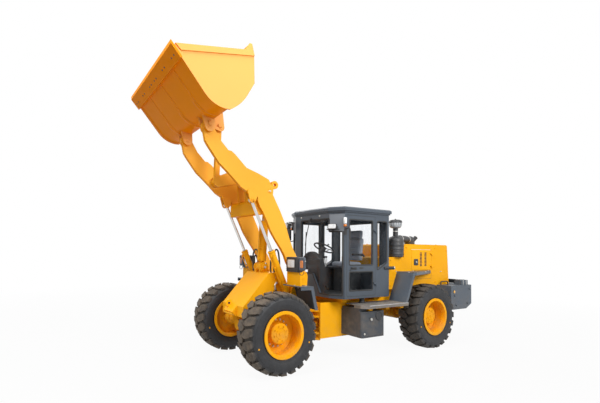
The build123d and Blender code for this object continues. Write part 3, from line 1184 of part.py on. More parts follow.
with BuildPart() as steering_wheel:
    dish = Plane(origin=(WHEEL_CENTRE[0], 0, WHEEL_CENTRE[1]), x_dir=(0, 1, 0),
                 z_dir=(-sin(radians(WHEEL_TILT)), 0, cos(radians(WHEEL_TILT))))
    with BuildSketch(dish.offset(-12)):
        Circle(STEERING_R)
        Circle(STEERING_R - 28, mode=Mode.SUBTRACT)
    extrude(amount=24)
    fillet(steering_wheel.edges(), radius=9)
    with BuildSketch(dish.offset(-46)):
        Circle(45)
    extrude(amount=50)
    with BuildSketch(dish.offset(-8)):
        with PolarLocations(0, 3, start_angle=30):
            with Locations(((STEERING_R - 14) / 2 + 10, 0)):
                Rectangle(STEERING_R - 34, 26)
    extrude(amount=8)
save(steering_wheel, "steering_wheel")

MIRROR = ((100, 140), (CAB_HALF_WIDTH + 80, CAB_HALF_WIDTH + 240), (2060, 2340))
with BuildPart() as mirrors:
    # a mirror on the right, and a bare arm on the left
    block(MIRROR[0], span(-1, *MIRROR[1]), MIRROR[2])
    for side in (-1, 1):
        block((108, 132), span(side, CAB_HALF_WIDTH + 5, MIRROR[1][0]), (2190, 2214))
        block((76, 132), span(side, CAB_HALF_WIDTH, CAB_HALF_WIDTH + 14), (2150, 2250))
save(mirrors, "mirrors")

# side, lamp box x, y and z, height of its bracket: the left lamp sits on the corner panel, the right one stands clear
CAB_LAMPS = (
    (1, (232, 310), (505, 640), (2190, 2330), (2250, 2290)),
    (-1, (330, 410), (520, 640), (2290, 2410), (2410, 2430)),
)
with BuildPart() as cab_lights:
    slope = (CAB_FRONT_X - CAB_SIDE_FRONT_X) / (CAB_HALF_WIDTH - CAB_FRONT_HALF)
    skin_x = CAB_FRONT_X - (560 - CAB_FRONT_HALF) * slope + SEAT_GAP
    for side, lamp_x, lamp_y, lamp_z, arm_z in CAB_LAMPS:
        block(lamp_x, span(side, *lamp_y), lamp_z)
        block((skin_x, (lamp_x[0] + lamp_x[1]) / 2), span(side, 560, 600), arm_z)
save(cab_lights, "cab_lights")


# ---------------------------------------------------------------- front fenders and lamps
FRONT_FENDER_Y = (OUTER_CHEEK[1], 980)
FRONT_FENDER_X = (1034, 1274)
FRONT_FENDER_Z = 1310
with BuildPart() as front_fenders:
    for side in (-1, 1):
        plate(
            (
                (944, 940), (956, 940), (FRONT_FENDER_X[0] + 8, FRONT_FENDER_Z - 12),
                (FRONT_FENDER_X[1], FRONT_FENDER_Z - 12), (FRONT_FENDER_X[1], FRONT_FENDER_Z),
                (FRONT_FENDER_X[0], FRONT_FENDER_Z),
            ),
            *span(side, *FRONT_FENDER_Y),
        )
        plate(
            (
                (944, 940), (1000, 940), (FRONT_FENDER_X[0] + 45, FRONT_FENDER_Z - 55),
                (FRONT_FENDER_X[1], FRONT_FENDER_Z - 55), (FRONT_FENDER_X[1], FRONT_FENDER_Z),
                (FRONT_FENDER_X[0], FRONT_FENDER_Z),
            ),
            *span(side, FRONT_FENDER_Y[1] - 12, FRONT_FENDER_Y[1]),
        )
save(front_fenders, "front_fenders")

LIGHT_BOX = ((1060, 1214), (OUTER_CHEEK[1] + 23, 880), (FRONT_FENDER_Z, 1520))
LIGHT_BOX_INNER = 690                # the box narrows to its front plate beyond this
with BuildPart() as light_boxes:
    for side in (-1, 1):
        block(LIGHT_BOX[0], span(side, LIGHT_BOX[1][0], LIGHT_BOX_INNER), LIGHT_BOX[2])
        block((LIGHT_BOX[0][1] - 30, LIGHT_BOX[0][1]), span(side, LIGHT_BOX_INNER, LIGHT_BOX[1][1]), LIGHT_BOX[2])
save(light_boxes, "light_boxes")

with BuildPart() as headlights:
    for side in (-1, 1):
        block((1134, 1244), span(side, LIGHT_BOX[1][0] + 10, 858), (LIGHT_BOX[2][1], 1760))
        block((1238, 1252), span(side, LIGHT_BOX[1][0] + 60, 760), (1600, 1720))
        block((1200, 1232), span(side, 858, 1000), (1550, 1760))
save(headlights, "headlights")
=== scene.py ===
"""A wheel loader: paint, tyres, cushions, lamps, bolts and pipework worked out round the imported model, in
metres."""
from math import cos, pi, radians, sin

import bpy
import numpy as np
from mathutils import Matrix, Vector


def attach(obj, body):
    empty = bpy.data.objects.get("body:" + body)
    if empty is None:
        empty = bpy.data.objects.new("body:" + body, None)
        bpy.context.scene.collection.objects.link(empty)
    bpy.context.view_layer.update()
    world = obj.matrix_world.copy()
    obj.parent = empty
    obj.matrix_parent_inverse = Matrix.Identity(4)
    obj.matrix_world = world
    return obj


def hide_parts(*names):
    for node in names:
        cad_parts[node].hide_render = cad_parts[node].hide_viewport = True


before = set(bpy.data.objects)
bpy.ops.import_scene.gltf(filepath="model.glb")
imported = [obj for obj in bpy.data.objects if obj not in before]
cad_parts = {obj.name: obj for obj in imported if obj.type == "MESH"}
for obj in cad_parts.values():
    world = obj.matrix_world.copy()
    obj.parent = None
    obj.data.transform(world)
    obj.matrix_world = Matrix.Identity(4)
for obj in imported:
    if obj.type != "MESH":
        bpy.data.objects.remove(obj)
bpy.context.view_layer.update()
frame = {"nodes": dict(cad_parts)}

scene = bpy.context.scene
X, Y, Z = np.eye(3)
FACING_X, FACING_BACK = (Y, Z, X), (Y, Z, -X)      # a plate's two sides and the way it faces
SIDES = ((1, "left"), (-1, "right"))


# ---------------------------------------------------------------- camera
def place_camera():
    """A camera ahead of the near front corner: heading, climb and roll give its three axes."""
    heading, climb, roll = -2.0768, 0.0304, 0.0129
    place, lens_mm, shift = (4.8937, 5.4347, 1.8584), 22.334, (0.1077, 0.0619)
    ahead = Vector((cos(heading) * cos(climb), sin(heading) * cos(climb), sin(climb)))
    right = ahead.cross(Vector((0, 0, 1))).normalized()
    up = right.cross(ahead)
    right, up = right * cos(roll) + up * sin(roll), up * cos(roll) - right * sin(roll)
    camera = bpy.data.objects.new("camera", bpy.data.cameras.new("camera"))
    scene.collection.objects.link(camera)
    camera.matrix_world = Matrix.Translation(place) @ Matrix((right, up, -ahead)).transposed().to_4x4()
    camera.data.sensor_width, camera.data.lens = 36, lens_mm
    camera.data.shift_x, camera.data.shift_y = shift
    scene.camera = camera


place_camera()


# ---------------------------------------------------------------- surfaces
def cells(rows, columns, round_rows=False, round_columns=False):
    """The four corners of every cell of a grid, numbered row by row; a round direction joins its end to its
    start."""
    r = np.arange(rows if round_rows else rows - 1)[:, None]
    c = np.arange(columns if round_columns else columns - 1)[None, :]
    corner = lambda i, j: (i % rows) * columns + j % columns
    return np.stack([corner(r, c), corner(r, c + 1), corner(r + 1, c + 1), corner(r + 1, c)], -1).reshape(-1,
        4)


def skin(points, round_rows=False, round_columns=False, ends=False):
    """A grid of points as a surface. With ends, the first and last rows are closed by one face each."""
    points = np.asarray(points, float)
    rows, columns = points.shape[:2]
    faces = [cells(rows, columns, round_rows, round_columns)]
    if ends:
        faces += [np.arange(columns)[None, :], np.arange(columns)[None, ::-1] + (rows - 1) * columns]
    return points.reshape(-1, 3), faces


def volume(points, faces):
    """Six times the signed volume: the sum of every fan triangle's triple product."""
    total = 0.0
    for f in faces:
        for k in range(1, f.shape[1] - 1):
            total += np.einsum("ij,ij->", points[f[:, 0]], np.cross(points[f[:, k]], points[f[:, k + 1]]))
    return total


def outward(part):
    """The part with its faces turned so that its volume is positive."""
    points, faces = part
    return (points, [f[:, ::-1] for f in faces]) if volume(points - points.mean(0), faces) < 0 else part


def make(name, parts, finish, body="rear_frame", stands_for=None, smooth=32):
    """Puts the parts into one mesh. Points closer than a hundredth of a millimetre become one, and a cell
    that shrinks to a line is dropped."""
    lists = {}
    points, start = [], 0
    for p, faces in parts:
        _, first, same = np.unique(np.round(p, 5), axis=0, return_index=True, return_inverse=True)
        same = same.reshape(-1)
        points.append(p[first])
        for f in faces:
            g = same[f]
            twin = g == np.roll(g, 1, axis=1)
            for n in (0, 1, 2):
                chosen = twin.sum(1) == n
                if f.shape[1] - n > 2 and chosen.any() and (n == 0 or f.shape[1] == 4):
                    k = g[chosen][~twin[chosen]].reshape(-1, f.shape[1] - n)
                    lists.setdefault(k.shape[1], []).append(k + start)
            if f.shape[1] > 4 and (twin.sum(1) > 0).any():
                for row, t in zip(g, twin):
                    if t.any() and (~t).sum() > 2:
                        lists.setdefault(int((~t).sum()), []).append(row[~t][None, :] + start)
        start += len(first)
    mesh = bpy.data.meshes.new(name)
    mesh.from_pydata(np.concatenate(points).tolist(), [],
        [tuple(r) for k in sorted(lists) for r in np.concatenate(lists[k]).tolist()])
    mesh.polygons.foreach_set("use_smooth", np.ones(len(mesh.polygons), bool))
    mesh.set_sharp_from_angle(angle=radians(smooth))
    mesh.materials.append(finish)
    piece = bpy.data.objects.new(name, mesh)
    scene.collection.objects.link(piece)
    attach(piece, body)
    if stands_for:
        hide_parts(stands_for)
    return piece


def square_to(axis):
    """Two unit directions square to an axis and to each other."""
    axis = np.asarray(axis, float) / np.linalg.norm(axis)
    side = np.cross(axis, Z if abs(axis[2]) < 0.9 else X)
    side /= np.linalg.norm(side)
    return axis, side, np.cross(axis, side)


def spun(profile, centre, axis, around):
    """A grid of points from a profile of (radius, distance along): centre + along·axis + radius·(cos a·side +
    sin a·rise)."""
    axis, side, rise = square_to(axis)
    r, h = np.asarray(profile, float).T
    a = np.arange(around) * 2 * pi / around
    ring = np.cos(a)[:, None] * side + np.sin(a)[:, None] * rise
    return np.asarray(centre, float) + h[:, None, None] * axis + r[:, None, None] * ring


def turned(profile, centre, axis=Z, around=24):
    """A profile of (radius, distance along) turned about an axis, closed at both ends."""
    return outward(skin(spun(profile, centre, axis, around), round_columns=True, ends=True))


def ring_of(profile, centre, axis=Z, around=32):
    """A closed loop of (radius, distance along) turned about an axis into a ring."""
    return outward(skin(spun(profile, centre, axis, around), round_rows=True, round_columns=True))


def rounded(size, corner, steps=3):
    """Half of a rounded outline, (n, 2): each corner's quarter circle is moved out to its own corner of a
    rectangle."""
    w, h = size[0] / 2 - corner, size[1] / 2 - corner
    a = (np.linspace(0, pi / 2, steps + 1)[None, :] + np.arange(4)[:, None] * pi / 2).reshape(-1)
    q = np.repeat(np.arange(4), steps + 1)
    return np.stack([np.where((q == 0) | (q == 3), w, -w) + corner * np.cos(a),
        np.where(q < 2, h, -h) + corner * np.sin(a)], -1)


def slab(centre, size, corner=0.004, edge=0.002, axes=(X, Y, Z), steps=3):
    """A plate with round corners and eased edges: its outline runs at full size through the thickness and
    shrinks by the edge at both faces."""
    u, v, w = (np.asarray(a, float) for a in axes)
    edge = min(edge, size[2] / 2 - 1e-5)
    corner = min(corner, min(size[:2]) / 2 - 1e-4)
    t = np.array([0, pi / 4, pi / 2])
    inset = np.concatenate([edge * (1 - np.sin(t)), edge * (1 - np.sin(t[::-1]))])
    rise = np.concatenate([-size[2] / 2 + edge * (1 - np.cos(t)), size[2] / 2 - edge * (1 - np.cos(t[::-1]))])
    outline = rounded(size[:2], corner, steps)
    reach = np.maximum(np.abs(outline).max(0), 1e-6)
    flat = outline[None, :, :] * (1 - inset[:, None, None] / reach)
    points = np.asarray(centre, float) + flat[..., :1] * u + flat[..., 1:] * v + rise[:, None, None] * w
    return outward(skin(points, round_columns=True, ends=True))


def smooth_line(points, count=24):
    """Points on a smooth line through the given ones: between two of them, the cubic whose slopes join their
    neighbours."""
    p = np.asarray(points, float)
    p = np.concatenate([2 * p[:1] - p[1:2], p, 2 * p[-1:] - p[-2:-1]])
    s = np.linspace(0, len(points) - 1, count)
    i = np.minimum(s.astype(int), len(points) - 2)
    t = (s - i)[:, None]
    a, b, c, d = p[i], p[i + 1], p[i + 2], p[i + 3]
    return 0.5 * (2 * b + (c - a) * t + (2 * a - 5 * b + 4 * c - d) * t**2 + (3 * b - a - 3 * c + d) * t**3)


def pipe(points, radius, around=12, count=0):
    """A round tube along a line: every ring stands square to the line, turned from one fixed direction. A
    radius may change along it."""
    line = smooth_line(points, count) if count else np.asarray(points, float)
    way = np.gradient(line, axis=0)
    way /= np.linalg.norm(way, axis=1)[:, None]
    spread = np.linalg.svd(line - line.mean(0))[2][2]
    side = spread - (way @ spread)[:, None] * way
    side /= np.linalg.norm(side, axis=1)[:, None]
    rise = np.cross(way, side)
    a = np.arange(around) * 2 * pi / around
    radius = np.atleast_1d(np.asarray(radius, float))
    r = np.interp(np.linspace(0, 1, len(line)), np.linspace(0, 1, len(radius)), radius)[:, None, None]
    points = line[:, None, :] + r * (np.cos(a)[None, :, None] * side[:, None, :]
        + np.sin(a)[None, :, None] * rise[:, None, :])
    return outward(skin(points, round_columns=True, ends=True))


def bar(points, outline, up=Z, closed=False):
    """An outline (across, up) carried along a line: across is square to the line and to the up direction."""
    line = np.asarray(points, float)
    way = np.roll(line, -1, 0) - np.roll(line, 1, 0) if closed else np.gradient(line, axis=0)
    way /= np.linalg.norm(way, axis=1)[:, None]
    up = np.broadcast_to(np.asarray(up, float), line.shape)
    across = np.cross(way, up)
    across /= np.linalg.norm(across, axis=1)[:, None]
    rise = np.cross(across, way)
    o = np.asarray(outline, float)
    points = line[:, None, :] + o[None, :, :1] * across[:, None, :] + o[None, :, 1:] * rise[:, None, :]
    return outward(skin(points, round_rows=closed, round_columns=True, ends=not closed))


def bolt(at, axis=Z, across=0.024, high=0.014, washer=True):
    """A hexagon head on a washer: six-sided rings, the last one drawn in for the chamfer."""
    at, axis = np.asarray(at, float), np.asarray(axis, float) / np.linalg.norm(axis)
    r = across / 2 / cos(pi / 6)
    parts = [turned([(r, -0.002), (r, high * 0.8), (r * 0.82, high)], at, axis, 6)]
    if washer:
        parts.append(turned([(r * 1.35, -0.002), (r * 1.35, high * 0.16), (r * 1.25, high * 0.24)], at, axis,
            14))
    return parts


def bolts(places, axis=Z, **sizes):
    """One bolt at every place."""
    return [p for at in places for p in bolt(at, axis, **sizes)]


def circle(centre, radius, count, axis=Z, start=0.0):
    """Places round a circle, evenly apart."""
    axis, side, rise = square_to(axis)
    a = start + np.arange(count) * 2 * pi / count
    return np.asarray(centre, float) + radius * (np.cos(a)[:, None] * side + np.sin(a)[:, None] * rise)


# ---------------------------------------------------------------- finishes
class Finish:
    """A material worked out by nodes from the object's own coordinates."""

    def __init__(self, name):
        self.material = bpy.data.materials.new(name)
        self.material.use_nodes = True
        self.tree = self.material.node_tree
        self.tree.nodes.clear()
        self.place = self.node("TexCoord").outputs["Object"]

    def node(self, kind, inputs=None, **settings):
        """One node. An input is set to a value, or linked where a socket is given."""
        made = self.tree.nodes.new("ShaderNode" + kind)
        for key, value in settings.items():
            setattr(made, key, value)
        for key, value in (inputs or {}).items():
            if isinstance(value, bpy.types.NodeSocket):
                self.tree.links.new(value, made.inputs[key])
            else:
                made.inputs[key].default_value = value
        return made

    def sums(self, operation, a, b=0.0, c=0.0, clamp=False):
        """One step of arithmetic."""
        return self.node("Math", {0: a, 1: b, 2: c}, operation=operation, use_clamp=clamp).outputs[0]

    def noise(self, scale, detail=3.0, rough=0.55, stretch=None, place=None):
        """Cloudy variation from 0 to 1, drawn out along an axis by stretch."""
        place = place or self.place
        if stretch is not None:
            place = self.node("Mapping", {"Vector": place, "Scale": stretch}).outputs[0]
        return self.node("TexNoise", {"Vector": place, "Scale": scale, "Detail": detail,
            "Roughness": rough}).outputs[0]

    def ramp(self, value, low, high, out_low=0.0, out_high=1.0):
        """Value taken from one range to another and held within it."""
        return self.node("MapRange", {0: value, 1: low, 2: high, 3: out_low, 4: out_high}).outputs[0]

    def blend(self, amount, a, b):
        """Colour a going over to colour b."""
        made = self.node("Mix", {0: amount, 6: a, 7: b}, data_type="RGBA")
        return made.outputs[2]

    def height(self):
        """The place's three coordinates, the last one being the distance above the floor."""
        return self.node("SeparateXYZ", {0: self.place}).outputs

    def edges(self, radius):
        """The normal eased over edges, and how far it agrees with the face's own: below one only near an
        edge."""
        corner = self.node("Bevel", {"Radius": radius}, samples=4).outputs[0]
        face = self.node("NewGeometry").outputs["Normal"]
        return corner, self.node("VectorMath", {0: corner, 1: face}, operation="DOT_PRODUCT").outputs["Value"]

    def bump(self, height, distance, strength=1.0, normal=None):
        """A normal tilted by a height."""
        inputs = {"Height": height, "Distance": distance, "Strength": strength}
        if normal is not None:
            inputs["Normal"] = normal
        return self.node("Bump", inputs).outputs[0]

    def close(self, **inputs):
        """The Principled shader at the end."""
        named = {k.replace("_", " "): v for k, v in inputs.items()}
        shader = self.node("BsdfPrincipled", named)
        self.node("OutputMaterial", {"Surface": shader.outputs[0]})
        return self.material


def rgb(r, g, b):
    """A colour with full cover."""
    return (r, g, b, 1.0)


DUST = rgb(0.36, 0.27, 0.17)
MUD = rgb(0.17, 0.12, 0.075)


def paint(name, colour, pale, rough=0.34, coat=0.35, dust=0.25, dust_top=0.9, edge=0.5,
        chip=rgb(0.1, 0.075, 0.05), sheen=0.3, under=None, flank=None):
    """Sprayed enamel: slow drifts towards a paler tone, faint orange peel, runs of fine scratches, rubbed
    edges and dust that thins out with height. Given under, faces that point down are painted a deeper tone as
    painted shade; given flank, faces that point sideways are painted a paler tone as a painted highlight."""
    f = Finish(name)
    corner, meet = f.edges(0.006)
    drift = f.ramp(f.noise(1.1, 4), 0.38, 0.68)
    tone = f.blend(drift, colour, pale)
    own = f.node("SeparateXYZ", {0: f.node("TexCoord").outputs["Normal"]}).outputs
    # painted shade: faces whose own normal points down take the deeper under tone
    if under:
        tone = f.blend(f.ramp(own["Z"], 0.05, -0.45), tone, under)
    # painted highlight: faces whose own normal points sideways take the paler flank tone
    if flank:
        tone = f.blend(f.ramp(f.sums("ABSOLUTE", own["Y"], 0.0), 0.7, 0.97), tone, flank)
    cloud = f.ramp(f.noise(7.0, 5, 0.65), 0.42, 0.75)
    up = f.height()[2]
    low = f.ramp(up, dust_top, 0.15)
    settled = f.sums("MULTIPLY", f.sums("MULTIPLY", low, cloud), dust)
    tone = f.blend(settled, tone, DUST)
    speck = f.ramp(f.noise(46, 4, 0.7), 0.64, 0.72)
    tone = f.blend(f.sums("MULTIPLY", speck, f.sums("MULTIPLY", low, 0.5)), tone, MUD)
    rubbed = f.ramp(meet, 0.985, 0.86)
    rubbed = f.sums("MULTIPLY", rubbed, f.ramp(f.noise(16, 5, 0.75), 0.5, 0.72))
    tone = f.blend(f.sums("MULTIPLY", rubbed, edge), tone, chip)
    scratch = f.ramp(f.noise(30, 2, 0.6, stretch=(0.25, 1, 1)), 0.66, 0.78)
    roughness = f.sums("ADD", f.ramp(cloud, 0, 1, rough - 0.05, rough + 0.08),
        f.sums("MULTIPLY", settled, 0.5), clamp=True)
    roughness = f.sums("ADD", roughness, f.sums("MULTIPLY", scratch, 0.05), clamp=True)
    peel = f.sums("ADD", f.sums("MULTIPLY", f.noise(150, 2), 0.35), f.noise(2.6, 2))
    normal = f.bump(peel, 0.0011, 1.0, corner)
    return f.close(Base_Color=tone, Roughness=roughness, Normal=normal, Coat_Weight=coat,
        Coat_Roughness=0.16, Specular_IOR_Level=sheen)


def moulded(name, colour, pale, rough=0.5, grain=220, depth=0.0006, dust=0.2, metal=0.0, worn=0.0, sheen=0.0,
        coat=0.0):
    """Moulded, cast or rolled stuff: a grained surface, cloudy tone and cloudy patches of dust."""
    f = Finish(name)
    cloud = f.ramp(f.noise(5.0, 5, 0.65), 0.35, 0.7)
    fine = f.noise(grain, 3, 0.6)
    tone = f.blend(cloud, colour, pale)
    tone = f.blend(f.sums("MULTIPLY", f.ramp(f.noise(19, 4, 0.7), 0.5, 0.74), dust), tone, DUST)
    if worn:
        meet = f.edges(0.004)[1]
        tone = f.blend(f.sums("MULTIPLY", f.ramp(meet, 0.99, 0.88), worn), tone, rgb(0.45, 0.43, 0.4))
    roughness = f.ramp(f.sums("ADD", fine, cloud), 0.4, 1.6, rough - 0.06, rough + 0.1)
    return f.close(Base_Color=tone, Roughness=roughness, Normal=f.bump(fine, depth), Metallic=metal,
        Sheen_Weight=sheen, Coat_Weight=coat)


def rubber(name, dusty, centre_x=0.0, clean=rgb(0.009, 0.0095, 0.011)):
    """Tyre rubber: near black with a faint bloom, and brown dust on the tread that thins out down the wall.
    Distance from the hub says where the tread is."""
    f = Finish(name)
    x, _, z = f.height()
    hub = f.node("CombineXYZ", {0: centre_x, 1: 0.0, 2: 0.62}).outputs[0]
    flat = f.node("CombineXYZ", {0: x, 1: 0.0, 2: z}).outputs[0]
    out = f.node("VectorMath", {0: flat, 1: hub}, operation="DISTANCE").outputs["Value"]
    cloud = f.noise(9, 5, 0.7)
    fine = f.noise(90, 4, 0.65)
    tone = f.blend(f.ramp(cloud, 0.4, 0.7), clean, rgb(0.02, 0.021, 0.025))
    tread = f.sums("MULTIPLY", f.ramp(out, 0.545, 0.6),
        f.ramp(f.sums("ADD", cloud, f.sums("MULTIPLY", fine, 0.5)), 0.5, 0.85))
    tone = f.blend(f.sums("MULTIPLY", tread, dusty), tone, rgb(0.19, 0.145, 0.1))
    wall = f.sums("MULTIPLY", f.ramp(f.noise(4, 5, 0.7), 0.45, 0.7), f.ramp(fine, 0.4, 0.65))
    tone = f.blend(f.sums("MULTIPLY", wall, 0.13), tone, rgb(0.15, 0.13, 0.11))
    roughness = f.ramp(f.sums("ADD", tread, fine), 0.3, 1.5, 0.5, 0.9)
    return f.close(Base_Color=tone, Roughness=roughness, Normal=f.bump(f.sums("ADD", fine, f.noise(320, 2)),
        0.0009))


def glass(name, tint, clear=0.75, rough=0.02):
    """Pane: mostly see-through with a tinted gloss, faint smears of dust that are less clear."""
    f = Finish(name)
    smear = f.ramp(f.noise(3.2, 5, 0.7, stretch=(1, 1, 0.4)), 0.48, 0.75)
    wax = f.noise(40, 3, 0.6)
    cover = f.ramp(smear, 0, 1, 1 - clear, min(1.0, 1 - clear + 0.05))
    shine = f.node("BsdfPrincipled", {"Base Color": f.blend(smear, tint, rgb(0.34, 0.36, 0.37)),
        "Roughness": f.ramp(wax, 0.3, 0.7, rough, rough + 0.05), "Coat Weight": 0.6, "Coat Roughness": 0.03})
    through = f.node("BsdfTransparent", {"Color": rgb(0.99, 0.995, 1.0)})
    mixed = f.node("MixShader", {0: cover, 1: through.outputs[0], 2: shine.outputs[0]})
    f.node("OutputMaterial", {"Surface": mixed.outputs[0]})
    return f.material


def lens(name, colour, rough=0.08):
    """Lamp lens: clear gloss over a coloured body, with fine upright flutes."""
    f = Finish(name)
    flute = f.sums("SINE", f.sums("MULTIPLY", f.height()[1], 900.0))
    tone = f.blend(f.ramp(f.noise(35, 3), 0.35, 0.7), colour, tuple(c * 0.72 for c in colour[:3]) + (1.0,))
    return f.close(Base_Color=tone, Roughness=f.ramp(f.noise(90, 2), 0.3, 0.7, rough, rough + 0.08),
        Normal=f.bump(flute, 0.0008), Coat_Weight=1.0, Coat_Roughness=0.04)


yellow = paint("yellow_enamel", rgb(0.9, 0.4, 0.006), rgb(0.92, 0.43, 0.01), coat=0.04, edge=0.3, sheen=0.08)
# bucket paint: its under tone is painted shade on down-facing faces, its flank tone a painted highlight on
# the side plates
bucket_yellow_with_painted_light = paint("bucket_enamel", rgb(0.9, 0.37, 0.006), rgb(0.92, 0.4, 0.012), coat=0.0, dust=0.06,
    edge=0.3, sheen=0.04, under=rgb(0.9, 0.27, 0.0), flank=rgb(0.93, 0.44, 0.11))
# boom paint: its under tone is painted shade on down-facing faces, its flank tone a painted highlight on the
# arms' sides
arm_paint = paint("loader_arm_enamel", rgb(0.9, 0.385, 0.005), rgb(0.92, 0.42, 0.01), coat=0.0, dust=0.06,
    edge=0.3, sheen=0.04, under=rgb(0.9, 0.31, 0.0), flank=rgb(0.92, 0.44, 0.045))
rim_paint = paint("rim_enamel", rgb(0.88, 0.37, 0.004), rgb(0.9, 0.41, 0.006), rough=0.42, coat=0.0,
    dust=0.45, dust_top=1.3, edge=0.2, sheen=0.06)
grey = paint("cab_grey_enamel", rgb(0.055, 0.07, 0.09), rgb(0.07, 0.086, 0.108), rough=0.4, coat=0.25,
    dust=0.2, chip=rgb(0.25, 0.26, 0.27))
pale_grey = paint("corner_panel_enamel", rgb(0.155, 0.175, 0.2), rgb(0.2, 0.22, 0.245), rough=0.4, coat=0.2,
    dust=0.2, chip=rgb(0.25, 0.26, 0.27))
grey_plate = paint("fender_grey_enamel", rgb(0.068, 0.085, 0.108), rgb(0.085, 0.104, 0.13), rough=0.46,
    coat=0.15, dust=0.3, dust_top=1.4, chip=rgb(0.25, 0.24, 0.22))
black = paint("black_enamel", rgb(0.022, 0.023, 0.026), rgb(0.034, 0.035, 0.038), rough=0.42, coat=0.2,
    dust=0.1, chip=rgb(0.2, 0.2, 0.2))
# its under tone is painted shade on the edge's down-facing faces
edge_paint = paint("cutting_edge_worn_enamel", rgb(0.84, 0.28, 0.002), rgb(0.76, 0.25, 0.006), rough=0.45,
    coat=0.0, sheen=0.04, under=rgb(0.86, 0.25, 0.0), dust=0.1, edge=0.9, chip=rgb(0.22, 0.16, 0.1))
chrome = moulded("rod_chrome", rgb(0.62, 0.6, 0.57), rgb(0.72, 0.7, 0.68), rough=0.17, grain=400,
    depth=0.0001, dust=0.12, metal=1.0)
cast = moulded("engine_cast_iron", rgb(0.045, 0.047, 0.05), rgb(0.075, 0.075, 0.075), rough=0.62, grain=120,
    depth=0.0015, dust=0.3)
plastic = moulded("black_moulded_plastic", rgb(0.02, 0.021, 0.024), rgb(0.032, 0.033, 0.036), rough=0.5,
    dust=0.05, worn=0.05)
duct_plastic = moulded("ribbed_black_plastic", rgb(0.03, 0.031, 0.034), rgb(0.05, 0.05, 0.053), rough=0.45,
    dust=0.08, worn=0.08)
hose_rubber = moulded("hose_rubber", rgb(0.02, 0.02, 0.021), rgb(0.035, 0.035, 0.036), rough=0.55, grain=500,
    depth=0.0005, dust=0.1)
seal_rubber = moulded("window_seal_rubber", rgb(0.018, 0.019, 0.02), rgb(0.027, 0.028, 0.03), rough=0.6,
    grain=300, dust=0.04)
zinc = moulded("zinc_plate", rgb(0.52, 0.51, 0.48), rgb(0.62, 0.61, 0.58), rough=0.33, grain=260,
    depth=0.0003, dust=0.12, metal=0.85)
fitting_steel = moulded("fitting_steel", rgb(0.42, 0.38, 0.28), rgb(0.5, 0.47, 0.38), rough=0.35, grain=260,
    depth=0.0003, dust=0.1, metal=0.8)
clear_bowl = moulded("precleaner_bowl", rgb(0.33, 0.35, 0.37), rgb(0.42, 0.44, 0.46), rough=0.3, grain=180,
    depth=0.0004, dust=0.08, coat=0.5)
lens_white = lens("work_lamp_lens", rgb(0.92, 0.97, 1.0))
lens_amber = lens("amber_lens", rgb(0.72, 0.2, 0.01))
lens_red = lens("red_lens", rgb(0.5, 0.015, 0.01))
mirror_glass = moulded("mirror_silver", rgb(0.75, 0.77, 0.79), rgb(0.8, 0.82, 0.83), rough=0.08, grain=60,
    depth=0.00002, dust=0.05, metal=1.0)
tread_steel = paint("platform_dusty_steel", rgb(0.11, 0.105, 0.1), rgb(0.22, 0.2, 0.185), rough=0.6,
    coat=0.05, dust=0.6, dust_top=2.4, chip=rgb(0.5, 0.5, 0.5))
tank_grey = paint("tank_dusty_enamel", rgb(0.04, 0.047, 0.058), rgb(0.058, 0.064, 0.074), rough=0.5,
    coat=0.05, dust=0.35, dust_top=1.2, chip=rgb(0.25, 0.24, 0.22))
worn_steel = moulded("worn_nosing", rgb(0.3, 0.3, 0.3), rgb(0.48, 0.48, 0.48), rough=0.45, grain=200,
    dust=0.2, metal=0.5)
seat_cloth = moulded("seat_cover_weave", rgb(0.3, 0.34, 0.41), rgb(0.38, 0.42, 0.49), rough=0.72, grain=420,
    depth=0.0006, dust=0.05, sheen=0.25)
grille_mesh = moulded("woven_black_mesh", rgb(0.025, 0.025, 0.027), rgb(0.04, 0.04, 0.042), rough=0.6,
    grain=700, depth=0.002, dust=0.15)
exhaust_steel = moulded("exhaust_steel", rgb(0.16, 0.14, 0.12), rgb(0.24, 0.21, 0.19), rough=0.5, grain=150,
    depth=0.0008, dust=0.25, metal=0.6)
cab_pane = glass("cab_glass", rgb(0.05, 0.06, 0.065), clear=0.985)
reflector = lens("reflector", rgb(0.85, 0.42, 0.02), rough=0.2)

nodes = frame["nodes"]


def finish_nodes():
    """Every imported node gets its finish: yellow, or else what the last row that names it says."""
    chosen = dict.fromkeys(nodes, yellow)
    for finish, names in (
        (grey, ("cab_shell", "cab_floor", "cab_roof", "door_left", "door_right")),
        (black, ("radiator_grille", "exhaust_pipe")),
        (cast, ("engine_block",)),
        (chrome, ("tilt_rod", "lift_rod_left", "lift_rod_right", "steering_rod_left", "steering_rod_right")),
        (edge_paint, ("cutting_edge",)),
        (cab_pane, ("cab_glass", "door_glass_left", "door_glass_right")),
        (plastic, ("console", "steering_wheel", "mirrors", "seat_cushions", "headlights", "cab_lights",
            "seat_base")),
        (seal_rubber, [n for n in nodes if n.startswith("tyre")]),
        (arm_paint, ("boom_arm_left", "boom_arm_right", "bell_crank", "tilt_link", "boom_cross_tube")),
        (bucket_yellow_with_painted_light, ("bucket_shell",)),
        (rim_paint, [n for n in nodes if n.startswith("rim_")] + ["front_axle", "rear_axle"]),
        (grey_plate, ("rear_fenders", "front_fenders", "counterweight", "battery_boxes")),
        (tread_steel, ("platforms",)),
        (tank_grey, ("side_tanks",)),
        (duct_plastic, ("air_cleaner",)),
    ):
        chosen.update(dict.fromkeys(names, finish))
    for name, node in nodes.items():
        for place in node.material_slots:
            place.material = chosen[name]


finish_nodes()


